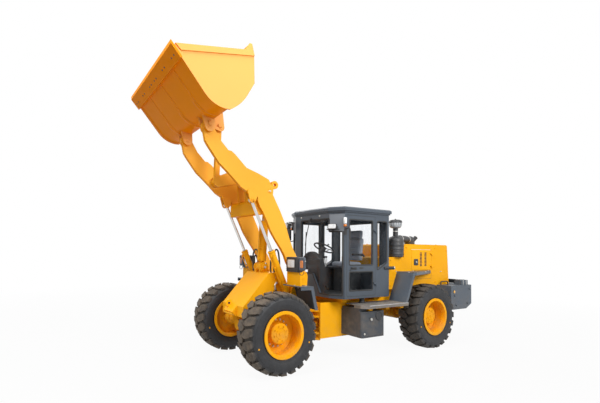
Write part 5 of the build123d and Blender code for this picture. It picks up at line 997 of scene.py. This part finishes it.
def fit_cab():
    """Seals round every pane, door handles and locks, roof rivets and hatch, wiper, lamps and mirror arms."""
    seals = [seal(box_corners(-0.54, 0.54, 1.56, 2.42), Y, Z, (CAB_REAR, 0, 0), -X)]
    corner_out = (X + FACET_OUT) / np.linalg.norm(X + FACET_OUT)
    post = np.array([0.179, 0.595, 0]) + FACET_WAY * 0.1049
    round_corner = [(CAB_FRONT, -0.3, GLASS_HEAD), (CAB_FRONT, -0.3, 1.45), (CAB_FRONT, 0.03, 1.435),
        (CAB_FRONT, 0.225, CORNER_SILL), (CAB_FRONT, 0.47, CORNER_SILL), post + Z * CORNER_SILL,
        post + Z * CORNER_HEAD, (CAB_FRONT, 0.47, CORNER_HEAD), (CAB_FRONT, 0.47, GLASS_HEAD)]
    faces = np.repeat(np.array([X, X, X, X, corner_out, FACET_OUT, FACET_OUT, corner_out, X]), 5, 0)
    strip = [(-0.014, -0.008), (-0.014, 0.002), (-0.009, 0.0045), (0.009, 0.0045), (0.014, 0.002),
        (0.014, -0.008)]
    seals.append(bar(bent_line(round_corner), strip, faces, closed=True))
    for side in (1, -1):
        flip = np.array([1, side, 1.0])
        out = FACET_OUT * flip
        if side < 0:
            seals.append(seal(box_corners(-0.0789, 0.0789, CORNER_SILL, CORNER_HEAD), FACET_WAY * flip, Z,
                np.array([0.179, 0.595, 0]) * flip, out, 0.02))
        seals.append(seal([(-0.695, 1.52), (-0.695, 2.42), (-0.96, 2.42), (-0.96, 1.66)], X, Z,
            (0, side * CAB_SIDE, 0), Y * side, 0.04))
    make("cab_window_seals", seals, seal_rubber)
    for side, name in SIDES:
        out = Y * side
        body = "door_" + name
        face = side * CAB_SIDE
        rubber_lines = [seal(box_corners(-0.582, 0.006, 1.17, 1.5), X, Z, (0, face, 0), out),
            seal(box_corners(-0.582, 0.006, 1.62, 2.42), X, Z, (0, face, 0), out)]
        make("door_seals_" + name, rubber_lines, seal_rubber, body)
        dark = [slab((-0.1, face + side * 0.001, 1.56), (0.15, 0.052, 0.004), 0.012, 0.0015, (X, Z, out))]
        dark.append(slab((-0.29, face + side * 0.001, 1.565), (0.1, 0.03, 0.003), 0.008, 0.001, (X, Z, out)))
        grip = [(x, face + side * off, z) for x, off, z in ((-0.04, -0.002, 1.575), (-0.04, 0.022, 1.575),
            (-0.055, 0.026, 1.572), (-0.13, 0.024, 1.565), (-0.155, 0.016, 1.562))]
        dark.append(pipe(smooth_line(grip, 24), 0.0075, 10))
        dark.append(turned([(0.013, -0.001), (0.013, 0.006), (0.011, 0.008), (0.001, 0.008)],
            (-0.015, face, 1.53), out, 20))
        make("door_handle_" + name, dark, plastic, body)
        pull = smooth_line([(x, face - side * deep, 1.56) for x, deep in ((-0.53, 0.042), (-0.53, 0.075),
            (-0.5, 0.085), (-0.3, 0.085), (-0.08, 0.085), (-0.05, 0.075), (-0.05, 0.042))], 40)
        make("door_pull_" + name, [pipe(pull, 0.009, 10)], plastic, body)
        gap = bar(window_line([(-0.643, 1.072), (0.067, 1.072), (0.067, 2.493), (-0.643, 2.493)], X, Z,
            (0, side * 0.7185, 0), 0.02), [(-0.004, -0.004), (-0.004, 0.0016), (0.004, 0.0016),
            (0.004, -0.004)], out, closed=True)
        make("door_edge_seal_" + name, [gap], seal_rubber)
    roof = []
    for side in (1, -1):
        for x in np.linspace(-0.95, 0.02, 8):
            roof += [turned(RIVET, (x, side * 0.755, ROOF_EDGE_Z), Y * side, 14)]
    for y in np.linspace(-0.38, 0.38, 5):
        roof += [turned(RIVET, (0.279, y, ROOF_EDGE_Z), X, 14)]
        roof += [turned(RIVET, (-1.051, y, ROOF_EDGE_Z), -X, 14)]
    make("roof_rivets", roof, grey)
    hatch = [slab((-0.4, 0, 2.641), (0.78, 0.86, 0.022), 0.06, 0.008),
        slab((-0.4, 0, 2.652), (0.62, 0.7, 0.016), 0.05, 0.006)]
    make("roof_hatch", hatch, grey)
    fascia = []
    for y in (-0.3, 0.22):
        fascia += bolt((CAB_FRONT, y, 2.5), X, 0.022, 0.01)
    make("fascia_bolts", fascia, zinc, smooth=25)
    arm = smooth_line([(0.262, -0.02, 2.46), (0.274, -0.06, 2.3), (0.272, -0.12, 2.1), (0.262, -0.16, 1.96)],
        24)
    wiper = [pipe(arm, np.linspace(0.009, 0.005, 24), 10),
        turned([(0.022, -0.003), (0.022, 0.018), (0.014, 0.024), (0.001, 0.025)], (CAB_FRONT, -0.02, 2.46),
        X, 20)]
    blade = np.array([(0.256, -0.16 + t * 0.02, 1.72 + t * 0.5) for t in np.linspace(0, 1, 12)])
    wiper.append(bar(blade, [(-0.003, -0.009), (-0.007, 0.006), (0.007, 0.006), (0.003, -0.009)], X))
    make("wiper", wiper, plastic)
    panel = [slab(np.array([0.179, side * 0.595, 2.362]) + FACET_OUT * (1, side, 1) * 0.0005,
        (0.276, 0.3, 0.005), 0.01, 0.002, (FACET_WAY * (1, side, 1), Z, FACET_OUT * (1, side, 1)))
        for side in (1, -1)]
    make("corner_panels", panel, pale_grey)
    pods, lamps, ambers = [], [], []
    near = np.array([0.2605, 0.572, 2.292])
    pods += [slab(near, (0.15, 0.088, 0.062), 0.02, 0.014, FACING_FACET),
        slab(near - FACET_OUT * 0.028 - Z * 0.05, (0.235, 0.016, 0.01), 0.006, 0.003, FACING_FACET),
        bar(np.array([near + FACET_WAY * w + Z * h for w, h in ((-0.084, 0), (-0.084, -0.058),
        (0.084, -0.058), (0.084, 0))]), [(-0.011, -0.002), (-0.011, 0.002), (0.011, 0.002), (0.011, -0.002)],
        np.array([-FACET_WAY, -FACET_WAY - Z, FACET_WAY - Z, FACET_WAY])),
        slab(near - FACET_OUT * 0.035 - Z * 0.058, (0.03, 0.03, 0.05), 0.006, 0.003, FACING_FACET)]
    lamps.append(slab(near + FACET_OUT * 0.031, (0.134, 0.074, 0.01), 0.016, 0.004, FACING_FACET))
    far = np.array([0.372, -0.58, 2.35])
    pods += [slab(far, (0.116, 0.116, 0.082), 0.02, 0.012, FACING_X),
        bar(np.array([far + (-0.042, w, h) for w, h in ((0.066, 0), (0.066, 0.078), (-0.066, 0.078),
        (-0.066, 0))]), [(-0.012, -0.002), (-0.012, 0.002), (0.012, 0.002), (0.012, -0.002)],
        np.array([(0, 1, 0), (0, 0.7, 0.7), (0, -0.7, 0.7), (0, -1, 0)], float)),
        pipe([(0.192, -0.58, 2.42), (0.26, -0.58, 2.428), (0.33, -0.58, 2.428)], 0.01, 12, 12)]
    lamps.append(slab(far + X * 0.0385, (0.098, 0.098, 0.008), 0.016, 0.0035, FACING_X))
    for side in (1, -1):
        at = np.array([0.128, side * 0.742, 2.36])
        pods.append(slab(at, (0.05, 0.046, 0.165), 0.014, 0.006))
        lamps.append(slab(at + (0.006, side * 0.004, 0.03), (0.052, 0.05, 0.11), 0.016, 0.008))
        ambers.append(slab(at + (0.006, side * 0.004, -0.052), (0.048, 0.046, 0.04), 0.014, 0.006))
    make("cab_lamp_housings", pods, plastic, stands_for="cab_lights")
    make("cab_lamp_lenses", lamps, lens_white)
    make("marker_lamp_ambers", ambers, lens_amber)
    make("mirror_glass", [slab((0.0985, -0.88, 2.2), (0.146, 0.264, 0.003), 0.018, 0.001, FACING_BACK)],
        mirror_glass)
    arms = [slab((0.122, -0.88, 2.2), (0.158, 0.276, 0.04), 0.022, 0.014, FACING_X)]
    for z, bow in ((2.33, 0.012), (2.06, -0.012)):
        arms.append(pipe(smooth_line([(0.11, -0.725, z), (0.118, -0.78, z + bow),
            (0.12, -0.85, z + bow * 0.6), (0.121, -0.88, z - bow)], 24), 0.009, 10))
    arms.append(pipe(smooth_line([(0.1, 0.722, 2.225), (0.104, 0.76, 2.255), (0.105, 0.805, 2.262),
        (0.105, 0.832, 2.235), (0.105, 0.836, 2.15), (0.105, 0.836, 2.06)], 40), 0.01, 12))
    arms.append(slab((0.104, 0.729, 2.2), (0.056, 0.11, 0.018), 0.008, 0.003, (X, Z, Y)))
    make("mirror_arms", arms, plastic, stands_for="mirrors")
    visor = [slab((0.195, 0, 2.435), (0.7, 0.09, 0.006), 0.01, 0.002, FACING_X)]
    make("sun_visor", visor, plastic)


fit_cab()


def fit_interior():
    """Dash hood with dials, column boot, lever bank with knobs, pedals, arm rest and floor mat."""
    t = np.linspace(0, 1, 15)
    s = np.linspace(-1, 1, 17)
    top = np.stack([np.broadcast_to(0.02 + 0.17 * t[None, :], (17, 15)), -0.16 + s[:, None] * 0.26
        * np.ones((1, 15)), 1.56 + 0.29 * np.sin(np.clip(t[None, :] * 0.9 + 0.12, 0, 1) * pi) ** 0.6
        * (1 - 0.55 * np.abs(s[:, None]) ** 3)], -1)
    base = top.copy()
    base[..., 2] = 1.5
    shell = np.concatenate([top, base[:, ::-1]], axis=1)
    make("dash_hood", [outward(skin(shell, round_columns=True, ends=True))], plastic)
    dials, rims = [], []
    for y, z, r in ((-0.11, 1.6, 0.032), (-0.03, 1.61, 0.036), (0.05, 1.61, 0.036), (0.13, 1.6, 0.032)):
        rims.append(ring_of([(r, -0.004), (r + 0.005, -0.004), (r + 0.005, 0.004), (r, 0.006)],
            (0.018, y, z), -X, 28))
        dials.append(turned([(r, -0.003), (r, 0.001), (0.001, 0.002)], (0.018, y, z), -X, 28))
    make("dash_dials", dials, lens_white)
    make("dash_dial_rims", rims, zinc)
    hub = np.array([-0.066, 0, 1.92])
    tilt = np.array([-sin(radians(28)), 0, cos(radians(28))])
    boot = [(0.04, -0.05), (0.047, -0.06), (0.04, -0.075), (0.049, -0.09), (0.042, -0.105), (0.051, -0.12),
        (0.044, -0.135), (0.053, -0.15), (0.048, -0.17), (0.06, -0.2), (0.064, -0.25), (0.058, -0.3)]
    pad = [(0.046, -0.012), (0.05, 0.0), (0.046, 0.01), (0.03, 0.016), (0.001, 0.018)]
    make("column_boot", [turned(boot, hub, tilt, 28), turned(pad, hub, tilt, 28)], plastic)
    stalk = [pipe([hub + tilt * -0.1, hub + tilt * -0.09 + (0, 0.08, 0.01), hub + tilt * -0.08 + (0, 0.16,
        0.02)], [0.006, 0.006, 0.009], 10, 12)]
    stalk.append(turned([(0.001, -0.017), (0.012, -0.012), (0.017, 0), (0.012, 0.012), (0.001, 0.017)],
        hub + tilt * 0.035 + (0.05, 0.155, 0.03), tilt, 16))
    make("column_stalk", stalk, plastic)
    levers, knobs = [], []
    row = ((-0.4, -0.36), (-0.46, -0.38), (-0.52, -0.4))
    for x, y in row:
        foot = np.array([x, y, 1.538])
        tip = foot + (0.05, 0.03, 0.2)
        levers.append(pipe([foot, foot + (0.012, 0.008, 0.1), tip], 0.006, 10, 12))
        knobs.append(turned([(0.008, -0.022), (0.016, -0.012), (0.019, 0.003), (0.015, 0.017),
            (0.001, 0.022)], tip, (0.24, 0.14, 0.96), 18))
    make("lever_bank", levers, zinc)
    make("lever_knobs", knobs, plastic)
    boots = [turned([(0.034, 0), (0.036, 0.006), (0.026, 0.014), (0.028, 0.022), (0.018, 0.032),
        (0.008, 0.044)], (x, y, 1.539), Z, 20) for x, y in row]
    make("lever_boots", boots, seal_rubber)
    pedals = []
    tilted = (np.array([0.5, 0, 0.87]), Y, np.array([-0.87, 0, 0.5]))
    for y, w in ((0.16, 0.07), (-0.16, 0.07), (-0.23, 0.055)):
        plate = np.array([0.0, y, 1.17])
        pedals.append(slab(plate, (0.1, w, 0.012), 0.01, 0.004, tilted))
        pedals += [slab(plate + tilted[2] * 0.007 + tilted[0] * k, (0.006, w * 0.8, 0.004), 0.002, 0.001,
            tilted) for k in (-0.03, -0.01, 0.01, 0.03)]
        pedals.append(pipe([(0.03, y, 1.066), (0.03, y, 1.13), (0.004, y, 1.168)], 0.008, 10, 14))
    make("pedals", pedals, plastic)
    mat = [slab((-0.22, 0, 1.069), (0.62, 1.1, 0.008), 0.03, 0.003)]
    mat += [slab((-0.5 + 0.04 * k, 0, 1.0738), (0.008, 1.02, 0.003), 0.003, 0.001) for k in range(14)]
    make("floor_mat", mat, seal_rubber)
    rest = [slab((-0.66, 0.292, 1.8), (0.3, 0.06, 0.045), 0.026, 0.016)]
    rest += [pipe([(-0.86, 0.25, 1.76), (-0.84, 0.292, 1.775), (-0.72, 0.292, 1.785)], 0.012, 10, 16)]
    make("arm_rest", rest, plastic)
    fold = [(0.155, 0.0), (0.185, 0.018), (0.185, 0.028), (0.155, 0.046)]
    bellows = [turned(fold, (-0.675, 0, 1.16 + 0.055 * k), Z, 40) for k in range(5)]
    make("seat_bellows", bellows, seal_rubber)


fit_interior()


# ---------------------------------------------------------------- lamps, steps, fenders, hoses, seat
LAMP_Y, LENS_Y, LENS_Z, LAMP_Z = 0.704, 0.682, 1.655, 1.64


def fit_headlights():
    """Black lamp box with a bright rim, ribbed clear lens, dark bars, and a grey outer housing with a turn
    lens and a wire guard."""
    boxes, rims, lenses, ribs, bars, shells, turns, wires, stays = ([] for _ in range(9))
    for side in (1, -1):
        boxes.append(slab((1.187, side * LAMP_Y, LAMP_Z), (0.308, 0.24, 0.1), 0.026, 0.012, FACING_X))
        boxes.append(slab((1.226, side * LAMP_Y, LAMP_Z), (0.292, 0.224, 0.034), 0.022, 0.006, FACING_X))
        corners = np.array([(1.2445, side * LENS_Y + y, LENS_Z + z)
            for y, z in ((-0.083, -0.058), (0.083, -0.058), (0.083, 0.058), (-0.083, 0.058))])
        rims.append(bar(bent_line(corners, 0.014), [(-0.006, -0.004), (-0.006, 0.003), (0.006, 0.003),
            (0.006, -0.004)], X, closed=True))
        lenses.append(slab((1.2445, side * LENS_Y, LENS_Z), (0.158, 0.108, 0.012), 0.014, 0.005, FACING_X))
        ribs += [slab((1.2505, side * LENS_Y, LENS_Z + k * 0.0175), (0.142, 0.003, 0.0016), 0.001, 0.0005,
            FACING_X) for k in (-2, -1, 0, 1, 2)]
        bars += [slab((1.2455, side * y, 1.64), (0.011, 0.205, 0.008), 0.004, 0.003, FACING_X)
            for y in (0.792, 0.822)]
        bars += [slab((1.2445, side * 0.578, 1.64 + k * 0.034), (0.036, 0.012, 0.008), 0.004, 0.003,
            FACING_X) for k in (-3, -2, -1, 0, 1, 2, 3)]
        bars += [slab((1.2445, side * LAMP_Y, z), (0.27, 0.01, 0.008), 0.004, 0.003, FACING_X)
            for z in (1.534, 1.558, 1.582, 1.728, 1.748)]
        shells.append(slab((1.216, side * 0.929, 1.655), (0.14, 0.208, 0.031), 0.03, 0.012, FACING_X))
        turns.append(slab((1.2325, side * 0.932, 1.65), (0.072, 0.118, 0.012), 0.02, 0.005, FACING_X))
        loop = smooth_line([(1.226, side * 0.878, 1.55), (1.232, side * 0.88, 1.512),
            (1.234, side * 0.902, 1.49), (1.234, side * 0.955, 1.49), (1.232, side * 0.978, 1.512),
            (1.226, side * 0.98, 1.55)], 40)
        wires.append(pipe(loop, 0.0045, 10))
        stays += bolt((1.2, side * 0.62, 1.5195), -Z, 0.024, 0.012)
        stays += bolt((1.19, side * 0.5505, 1.6), -Y * side, 0.024, 0.012)
        stays += bolt((1.216, side * 0.9995, 1.7), Y * side, 0.016, 0.008, False)
    make("headlight_boxes", boxes, plastic, "front_frame", stands_for="headlights")
    make("headlight_rims", rims, zinc, "front_frame")
    make("headlight_lenses", lenses, lens_white, "front_frame")
    make("headlight_ribs", ribs, zinc, "front_frame")
    make("headlight_bars", bars, plastic, "front_frame")
    make("turn_lamp_shells", shells, grey_plate, "front_frame")
    make("turn_lenses", turns, lens_amber, "front_frame")
    make("lamp_guard_wires", wires, black, "front_frame")
    make("headlight_bolts", stays, zinc, "front_frame")


def fit_fenders():
    """Folded edge beads and bolts on the front fenders, and bolts on the rear ones."""
    beads, heads = [], []
    for side in (1, -1):
        for y in (0.52, 0.977):
            edge = np.array([(0.9445, side * y, 0.942), (1.0425, side * y, 1.3005),
                (1.273, side * y, 1.3125)])
            beads.append(pipe(np.concatenate([np.linspace(edge[0], edge[1], 12)[:-1],
                np.linspace(edge[1], edge[2], 8)]), 0.0055, 10))
        for k in (0.12, 0.5, 0.88):
            spot = np.array([0.944, 0, 0.94]) * (1 - k) + np.array([1.042, 0, 1.298]) * k
            for y in (0.6, 0.9):
                heads += bolt(spot + Y * side * y, (-0.965, 0, 0.264), 0.022, 0.01)
        for x, y in ((1.12, 0.6), (1.12, 0.9), (1.22, 0.75)):
            heads += bolt((x, side * y, 1.3105), Z, 0.022, 0.01)
        for x in (-1.3, -1.8, -2.28):
            for y in (0.93, 0.66):
                heads += bolt((x, side * y, 1.4825), Z, 0.022, 0.01)
    make("fender_beads", beads, grey_plate, "front_frame")
    make("fender_bolts", [part for part in heads if part[0][:, 0].mean() > 0], zinc, "front_frame")
    make("rear_fender_bolts", [part for part in heads if part[0][:, 0].mean() < 0], zinc)


TANK_SIDE, STEP_TOP = 0.92, 0.935


def fit_steps():
    """Studs and a worn nosing on each platform, tank covers with bolts, knobs and seams, the cab's feet and
    side tubes."""
    studs, noses, covers, knobs, seams, posts = [], [], [], [], [], []
    for side in (1, -1):
        for k in range(13):
            for j in range(5):
                x, y = -1.18 + 0.082 * k + 0.041 * (j % 2), 0.6 + 0.082 * j
                if x < -0.13 - max(0.0, y - 0.84) * 1.2:
                    studs.append(turned([(0.019, -0.001), (0.018, 0.003), (0.012, 0.0045), (0.007, 0.002),
                        (0.001, 0.002)], (x, side * y, STEP_TOP), Z, 14))
        lip = np.array([(-1.224, side * 0.98, 0.9305), (-0.215, side * 0.98, 0.9305)])
        noses.append(bar(lip, [(-0.007, -0.003), (-0.007, 0.0035), (-0.002, 0.006), (0.002, 0.006),
            (0.007, 0.0035), (0.007, -0.003)], Y * side))
        disc = [(0.086, -0.001), (0.086, 0.008), (0.08, 0.012), (0.066, 0.012), (0.06, 0.008),
            (0.058, 0.004), (0.001, 0.004)]
        covers.append(turned(disc, (-0.508, side * TANK_SIDE, 0.74), Y * side, 44))
        for place in circle(np.array([-0.508, side * TANK_SIDE + side * 0.01, 0.74]), 0.073, 6, Y * side,
                0.3):
            covers += bolt(place, Y * side, 0.013, 0.007, False)
        knobs.append(turned([(0.016, -0.001), (0.016, 0.008), (0.022, 0.012), (0.024, 0.022), (0.018, 0.029),
            (0.001, 0.031)], (-0.3, side * TANK_SIDE, 0.692), Y * side, 24))
        knobs.append(turned([(0.018, -0.001), (0.018, 0.006), (0.012, 0.012), (0.001, 0.013)],
            (-0.15, side * TANK_SIDE, 0.45), Y * side, 20))
        seams += [slab((-0.37, side * 0.9203, z), (0.5, 0.006, 0.0016), 0.001, 0.0005, (X, Z, Y * side))
            for z in (0.405, 0.8)]
        posts.append(turned([(0.062, 0.0), (0.062, 0.01), (0.05, 0.014), (0.044, 0.03), (0.048, 0.046),
            (0.044, 0.062), (0.05, 0.08), (0.06, 0.084), (0.06, 0.0935)], (-0.4, side * 0.63, 0.9355), Z, 32))
    make("platform_studs", studs, tread_steel)
    make("platform_nosings", noses, worn_steel)
    make("tank_covers", covers, plastic)
    make("tank_knobs", knobs, zinc)
    make("tank_seams", seams, seal_rubber)
    make("cab_mount_feet", posts, seal_rubber)
    tubes, caps = [], []
    for side in (1, -1):
        line = smooth_line([(x, side * 0.712, 1.557) for x in (-0.88, -1.05, -1.15)], 20)
        tubes.append(pipe(line, 0.03, 20))
        caps.append(turned([(0.031, -0.004), (0.033, 0.0), (0.033, 0.01), (0.028, 0.016), (0.001, 0.017)],
            (-1.15, side * 0.712, 1.557), -X, 24))
    make("side_tubes", tubes, plastic)
    make("side_tube_caps", caps, zinc)


def fit_front_hoses():
    """Pressure hoses over the tilt base and down the frame face, each a smooth curve with a ferrule and a nut
    at both ends."""
    runs = {
        "tilt_feed": [(1.3, 0.325, 1.42), (1.322, 0.325, 1.53), (1.33, 0.325, 1.66), (1.326, 0.325, 1.79),
            (1.292, 0.322, 1.868), (1.245, 0.322, 1.855), (1.218, 0.322, 1.74), (1.206, 0.322, 1.58),
            (1.198, 0.322, 1.34)],
        "tilt_return": [(1.33, 0.275, 1.42), (1.35, 0.275, 1.5), (1.356, 0.275, 1.62), (1.338, 0.275, 1.73),
            (1.298, 0.275, 1.765), (1.264, 0.275, 1.69), (1.25, 0.275, 1.55), (1.238, 0.275, 1.39)],
    }
    for name, points in runs.items():
        for side, end in SIDES:
            placed = [np.array(q) * (1, side, 1) for q in points]
            hose(name + "_hose_" + end, placed, 0.014, 60)
    steel = []
    for side, end in SIDES:
        run = [(1.265, 0.333, 1.305), (1.285, 0.35, 1.32), (1.32, 0.356, 1.29), (1.313, 0.356, 1.215),
            (1.265, 0.354, 1.17), (1.22, 0.346, 1.15), (1.205, 0.331, 1.135)]
        run = np.array(run) * (1, side, 1)
        hose("brake_hose_" + end, run, 0.01, 48)
        steel.append(pipe(smooth_line(run[1:4] + Y * side * 0.002, 24), 0.014, 12))
        for k in (1, 3):
            steel.append(turned([(0.014, -0.014), (0.021, -0.012), (0.021, 0.012), (0.014, 0.014)], run[k],
                run[k + 1] - run[k - 1], 6))
    make("brake_elbows", steel, zinc, "front_frame")


def fit_frame_details():
    """Caps with bolts on the tilt base pin, a tow ear with its hole and bolt, and bosses with bolts on the
    arms."""
    ears, pins = [], []
    for side in (1, -1):
        cheek = [(0.084, -0.034), (0.088, -0.03), (0.088, -0.016), (0.084, -0.012), (0.056, -0.012),
            (0.054, 0.004), (0.048, 0.008), (0.032, 0.008), (0.03, 0.014), (0.001, 0.014)]
        ears.append(turned(cheek, (1.369, side * 0.118, 1.57), Y * side, 36))
        pins += bolt((1.369, side * 0.132, 1.57), Y * side, 0.03, 0.014)
        pins += bolt((1.34, side * 0.106, 1.632), Y * side, 0.022, 0.012)
    make("tilt_base_caps", ears, yellow, "front_frame")
    make("tilt_base_bolts", pins, zinc, "front_frame", smooth=25)
    ear = [(0.02, -0.016), (0.056, -0.016), (0.06, -0.012), (0.06, 0.012), (0.056, 0.016), (0.02, 0.016)]
    hook = np.array([1.95, -0.08, 0.975])
    foot = hook + np.array([-0.034, 0, -0.05])
    tow = [ring_of(ear, hook, Y, 36), slab(foot, (0.11, 0.06, 0.03), 0.012, 0.004,
        (np.array([0.677, 0, -0.736]), np.array([0.736, 0, 0.677]), Y))]
    tow += [slab((2.0075, 0.0, 0.83), (0.3, 0.03, 0.01), 0.012, 0.003, FACING_X)]
    make("tow_ear", tow, yellow, "front_frame")
    make("tow_ear_bolt", bolt(hook + Y * 0.01, Y, 0.034, 0.014), black, "front_frame", smooth=25)
    bosses, nuts = [], []
    for side in (1, -1):
        for x, z in ((1.509, 2.818), (1.867, 2.708)):
            nuts += bolt((x, side * 0.46, z), Y * side, 0.03, 0.014)
            bosses.append(turned([(0.034, -0.001), (0.034, 0.006), (0.03, 0.01), (0.02, 0.01)],
                (x, side * 0.46, z), Y * side, 28))
    make("arm_face_bosses", bosses, arm_paint, "boom")
    make("arm_face_bolts", nuts, zinc, "boom", smooth=25)


CLOTH_PRESSURE, CLOTH_FRAMES, MOST_GROWTH, VOXEL, SEAM_FADE = 4.0, 20, 0.016, 0.008, 0.006


def sewn(name, centre, size, corner, lines, panels, push=None):
    """A stuffed cover: a rounded block, remeshed, blown up by cloth pressure, its growth capped, then
    stitched along lines. A stitch pulls the cover in by depth·exp(−(d/w)²), d being the distance from the
    line across the face it runs on."""
    block = slab(centre, size, corner, min(size) * 0.36, steps=6)
    piece = make(name, [block], seat_cloth, stands_for="seat_cushions")
    if push is not None:
        p = np.array([v.co[:] for v in piece.data.vertices])
        piece.data.vertices.foreach_set("co", push(p).ravel())
    melt = piece.modifiers.new("melt", "REMESH")
    melt.mode, melt.voxel_size, melt.use_smooth_shade = "VOXEL", VOXEL, True
    settle(piece)
    rest = np.array([v.co[:] for v in piece.data.vertices])
    cloth = piece.modifiers.new("cloth", "CLOTH")
    cloth.settings.use_pressure, cloth.settings.uniform_pressure_force = True, CLOTH_PRESSURE
    cloth.settings.effector_weights.gravity = 0.0
    for frame_number in range(1, CLOTH_FRAMES + 1):
        scene.frame_set(frame_number)
    settle(piece)
    now = np.array([v.co[:] for v in piece.data.vertices])
    grown = now - rest
    reach = np.linalg.norm(grown, axis=1)[:, None]
    now = rest + grown * np.minimum(1.0, MOST_GROWTH / np.maximum(reach, 1e-9))
    normal = np.array([v.normal[:] for v in piece.data.vertices])
    for axis_a, value, axis_b, low, high, depth, wide in lines:
        d = np.abs(now[:, axis_a] - value)
        inside = 1 / (1 + np.exp(-(now[:, axis_b] - low) / SEAM_FADE)) / (1
            + np.exp((now[:, axis_b] - high) / SEAM_FADE))
        now -= normal * (depth * np.exp(-((d / wide) ** 2)) * inside)[:, None]
    now = np.clip(now, *panels)
    piece.data.vertices.foreach_set("co", now.ravel())
    piece.data.update()
    finer = piece.modifiers.new("finer", "SUBSURF")
    finer.levels = finer.render_levels = 1


def settle(piece):
    """Bakes the modifiers of a piece into its mesh."""
    graph = bpy.context.evaluated_depsgraph_get()
    done = bpy.data.meshes.new_from_object(piece.evaluated_get(graph))
    piece.modifiers.clear()
    old, piece.data = piece.data, done
    bpy.data.meshes.remove(old)


def fit_seat():
    """Cushion, back and head rest, each a stuffed cover with stitched channels."""
    def lean(p):
        """The back follows the frame: it leans back by 60 mm over its height, and bows forward at the
        edges."""
        q = p.copy()
        up = (p[:, 2] - 1.66) / 0.62
        q[:, 0] = p[:, 0] - 0.062 * up + 0.16 * p[:, 1] ** 2 * 2.2
        return q
    far = np.array([-0.96, -0.26, 1.5405]), np.array([-0.4, 0.26, 2.32])
    stitches = [(1, -0.165, 0, -0.9, -0.44, 0.012, 0.008), (1, 0.165, 0, -0.9, -0.44, 0.012, 0.008),
        (0, -0.56, 1, -0.165, 0.165, 0.01, 0.008), (0, -0.68, 1, -0.165, 0.165, 0.01, 0.008),
        (0, -0.79, 1, -0.165, 0.165, 0.01, 0.008)]
    sewn("seat_cushion_cover", (-0.66, 0, 1.594), (0.44, 0.47, 0.092), 0.06, stitches, far)
    ribs = ([(2, z, 1, -0.15, 0.15, 0.01, 0.009) for z in (1.75, 1.84, 1.93, 2.02)]
        + [(1, y, 2, 1.68, 2.06, 0.011, 0.008) for y in (-0.155, 0.155)])
    sewn("seat_back_cover", (-0.872, 0, 1.9), (0.084, 0.43, 0.47), 0.07, ribs, far, lean)
    sewn("head_rest_cover", (-0.872, 0, 2.198), (0.092, 0.33, 0.17), 0.07,
        [(1, 0.0, 2, 2.1, 2.3, 0.004, 0.006)], far, lean)


fit_headlights()
fit_fenders()
fit_steps()
fit_front_hoses()
fit_frame_details()
fit_seat()


# ---------------------------------------------------------------- studio
def studio():
    """A pale floor with a faint shadow, a plain white surround seen by the camera, mirrors and glass, and
    three soft lamps."""
    floor_finish = Finish("studio_floor")
    ray = floor_finish.node("LightPath").outputs
    seen = floor_finish.sums("MAXIMUM", floor_finish.sums("MAXIMUM", ray["Is Camera Ray"],
        ray["Is Glossy Ray"]), ray["Is Transmission Ray"])
    ground = floor_finish.node("BsdfDiffuse",
        {"Color": floor_finish.blend(floor_finish.noise(0.6), rgb(0.42, 0.42, 0.42), rgb(0.46, 0.46, 0.46))})
    away = floor_finish.node("VectorMath", {0: floor_finish.place}, operation="LENGTH").outputs["Value"]
    pale = floor_finish.ramp(away, 3.4, 14.0, 0.94, 1.0)
    white = floor_finish.node("Emission", {"Color": rgb(1, 1, 1), "Strength": 1.0})
    mixed = floor_finish.node("MixShader", {0: floor_finish.sums("MULTIPLY", seen, pale),
        1: ground.outputs[0], 2: white.outputs[0]})
    floor_finish.node("OutputMaterial", {"Surface": mixed.outputs[0]})
    a = np.arange(64) * 2 * pi / 64
    disc = np.stack([60 * np.cos(a), 60 * np.sin(a), np.full(64, -0.0005)], -1)
    mesh = bpy.data.meshes.new("floor")
    mesh.from_pydata(disc.tolist(), [], [tuple(range(64))])
    mesh.materials.append(floor_finish.material)
    floor = bpy.data.objects.new("floor", mesh)
    scene.collection.objects.link(floor)
    world = bpy.data.worlds.new("studio_surround")
    scene.world = world
    world.use_nodes = True
    tree = world.node_tree
    tree.nodes.clear()
    path, most, more, strength, back, out = (tree.nodes.new("ShaderNode" + kind) for kind in (
        "LightPath", "Math", "Math", "MapRange", "Background", "OutputWorld"))
    most.operation = more.operation = "MAXIMUM"
    for source, target in (
        (path.outputs["Is Camera Ray"], most.inputs[0]), (path.outputs["Is Glossy Ray"], most.inputs[1]),
        (most.outputs[0], more.inputs[0]), (path.outputs["Is Transmission Ray"], more.inputs[1]),
        (more.outputs[0], strength.inputs[0]), (strength.outputs[0], back.inputs["Strength"]),
        (back.outputs[0], out.inputs[0]),
    ):
        tree.links.new(source, target)
    strength.inputs[3].default_value, strength.inputs[4].default_value = 0.45, 1.0
    back.inputs["Color"].default_value = (1, 1, 1, 1)
    for name, place, target, size, power in (
        ("key_lamp", (-0.5, 8.8, 7.2), (0.3, 0.5, 1.9), 6.0, 820),
        ("fill_lamp", (6.4, 2.2, 9.6), (1.2, 0.0, 1.6), 4.5, 900),
        ("back_lamp", (-3.0, -9.0, 7.5), (0.0, 0.0, 1.8), 6.0, 420),
    ):
        lamp = bpy.data.lights.new(name, "AREA")
        lamp.shape, lamp.size, lamp.energy = "DISK", size, power
        holder = bpy.data.objects.new(name, lamp)
        holder.location = place
        holder.rotation_mode = "QUATERNION"
        holder.rotation_quaternion = (Vector(target) - Vector(place)).to_track_quat("-Z", "Y")
        scene.collection.objects.link(holder)


studio()
scene.view_settings.view_transform = "Standard"
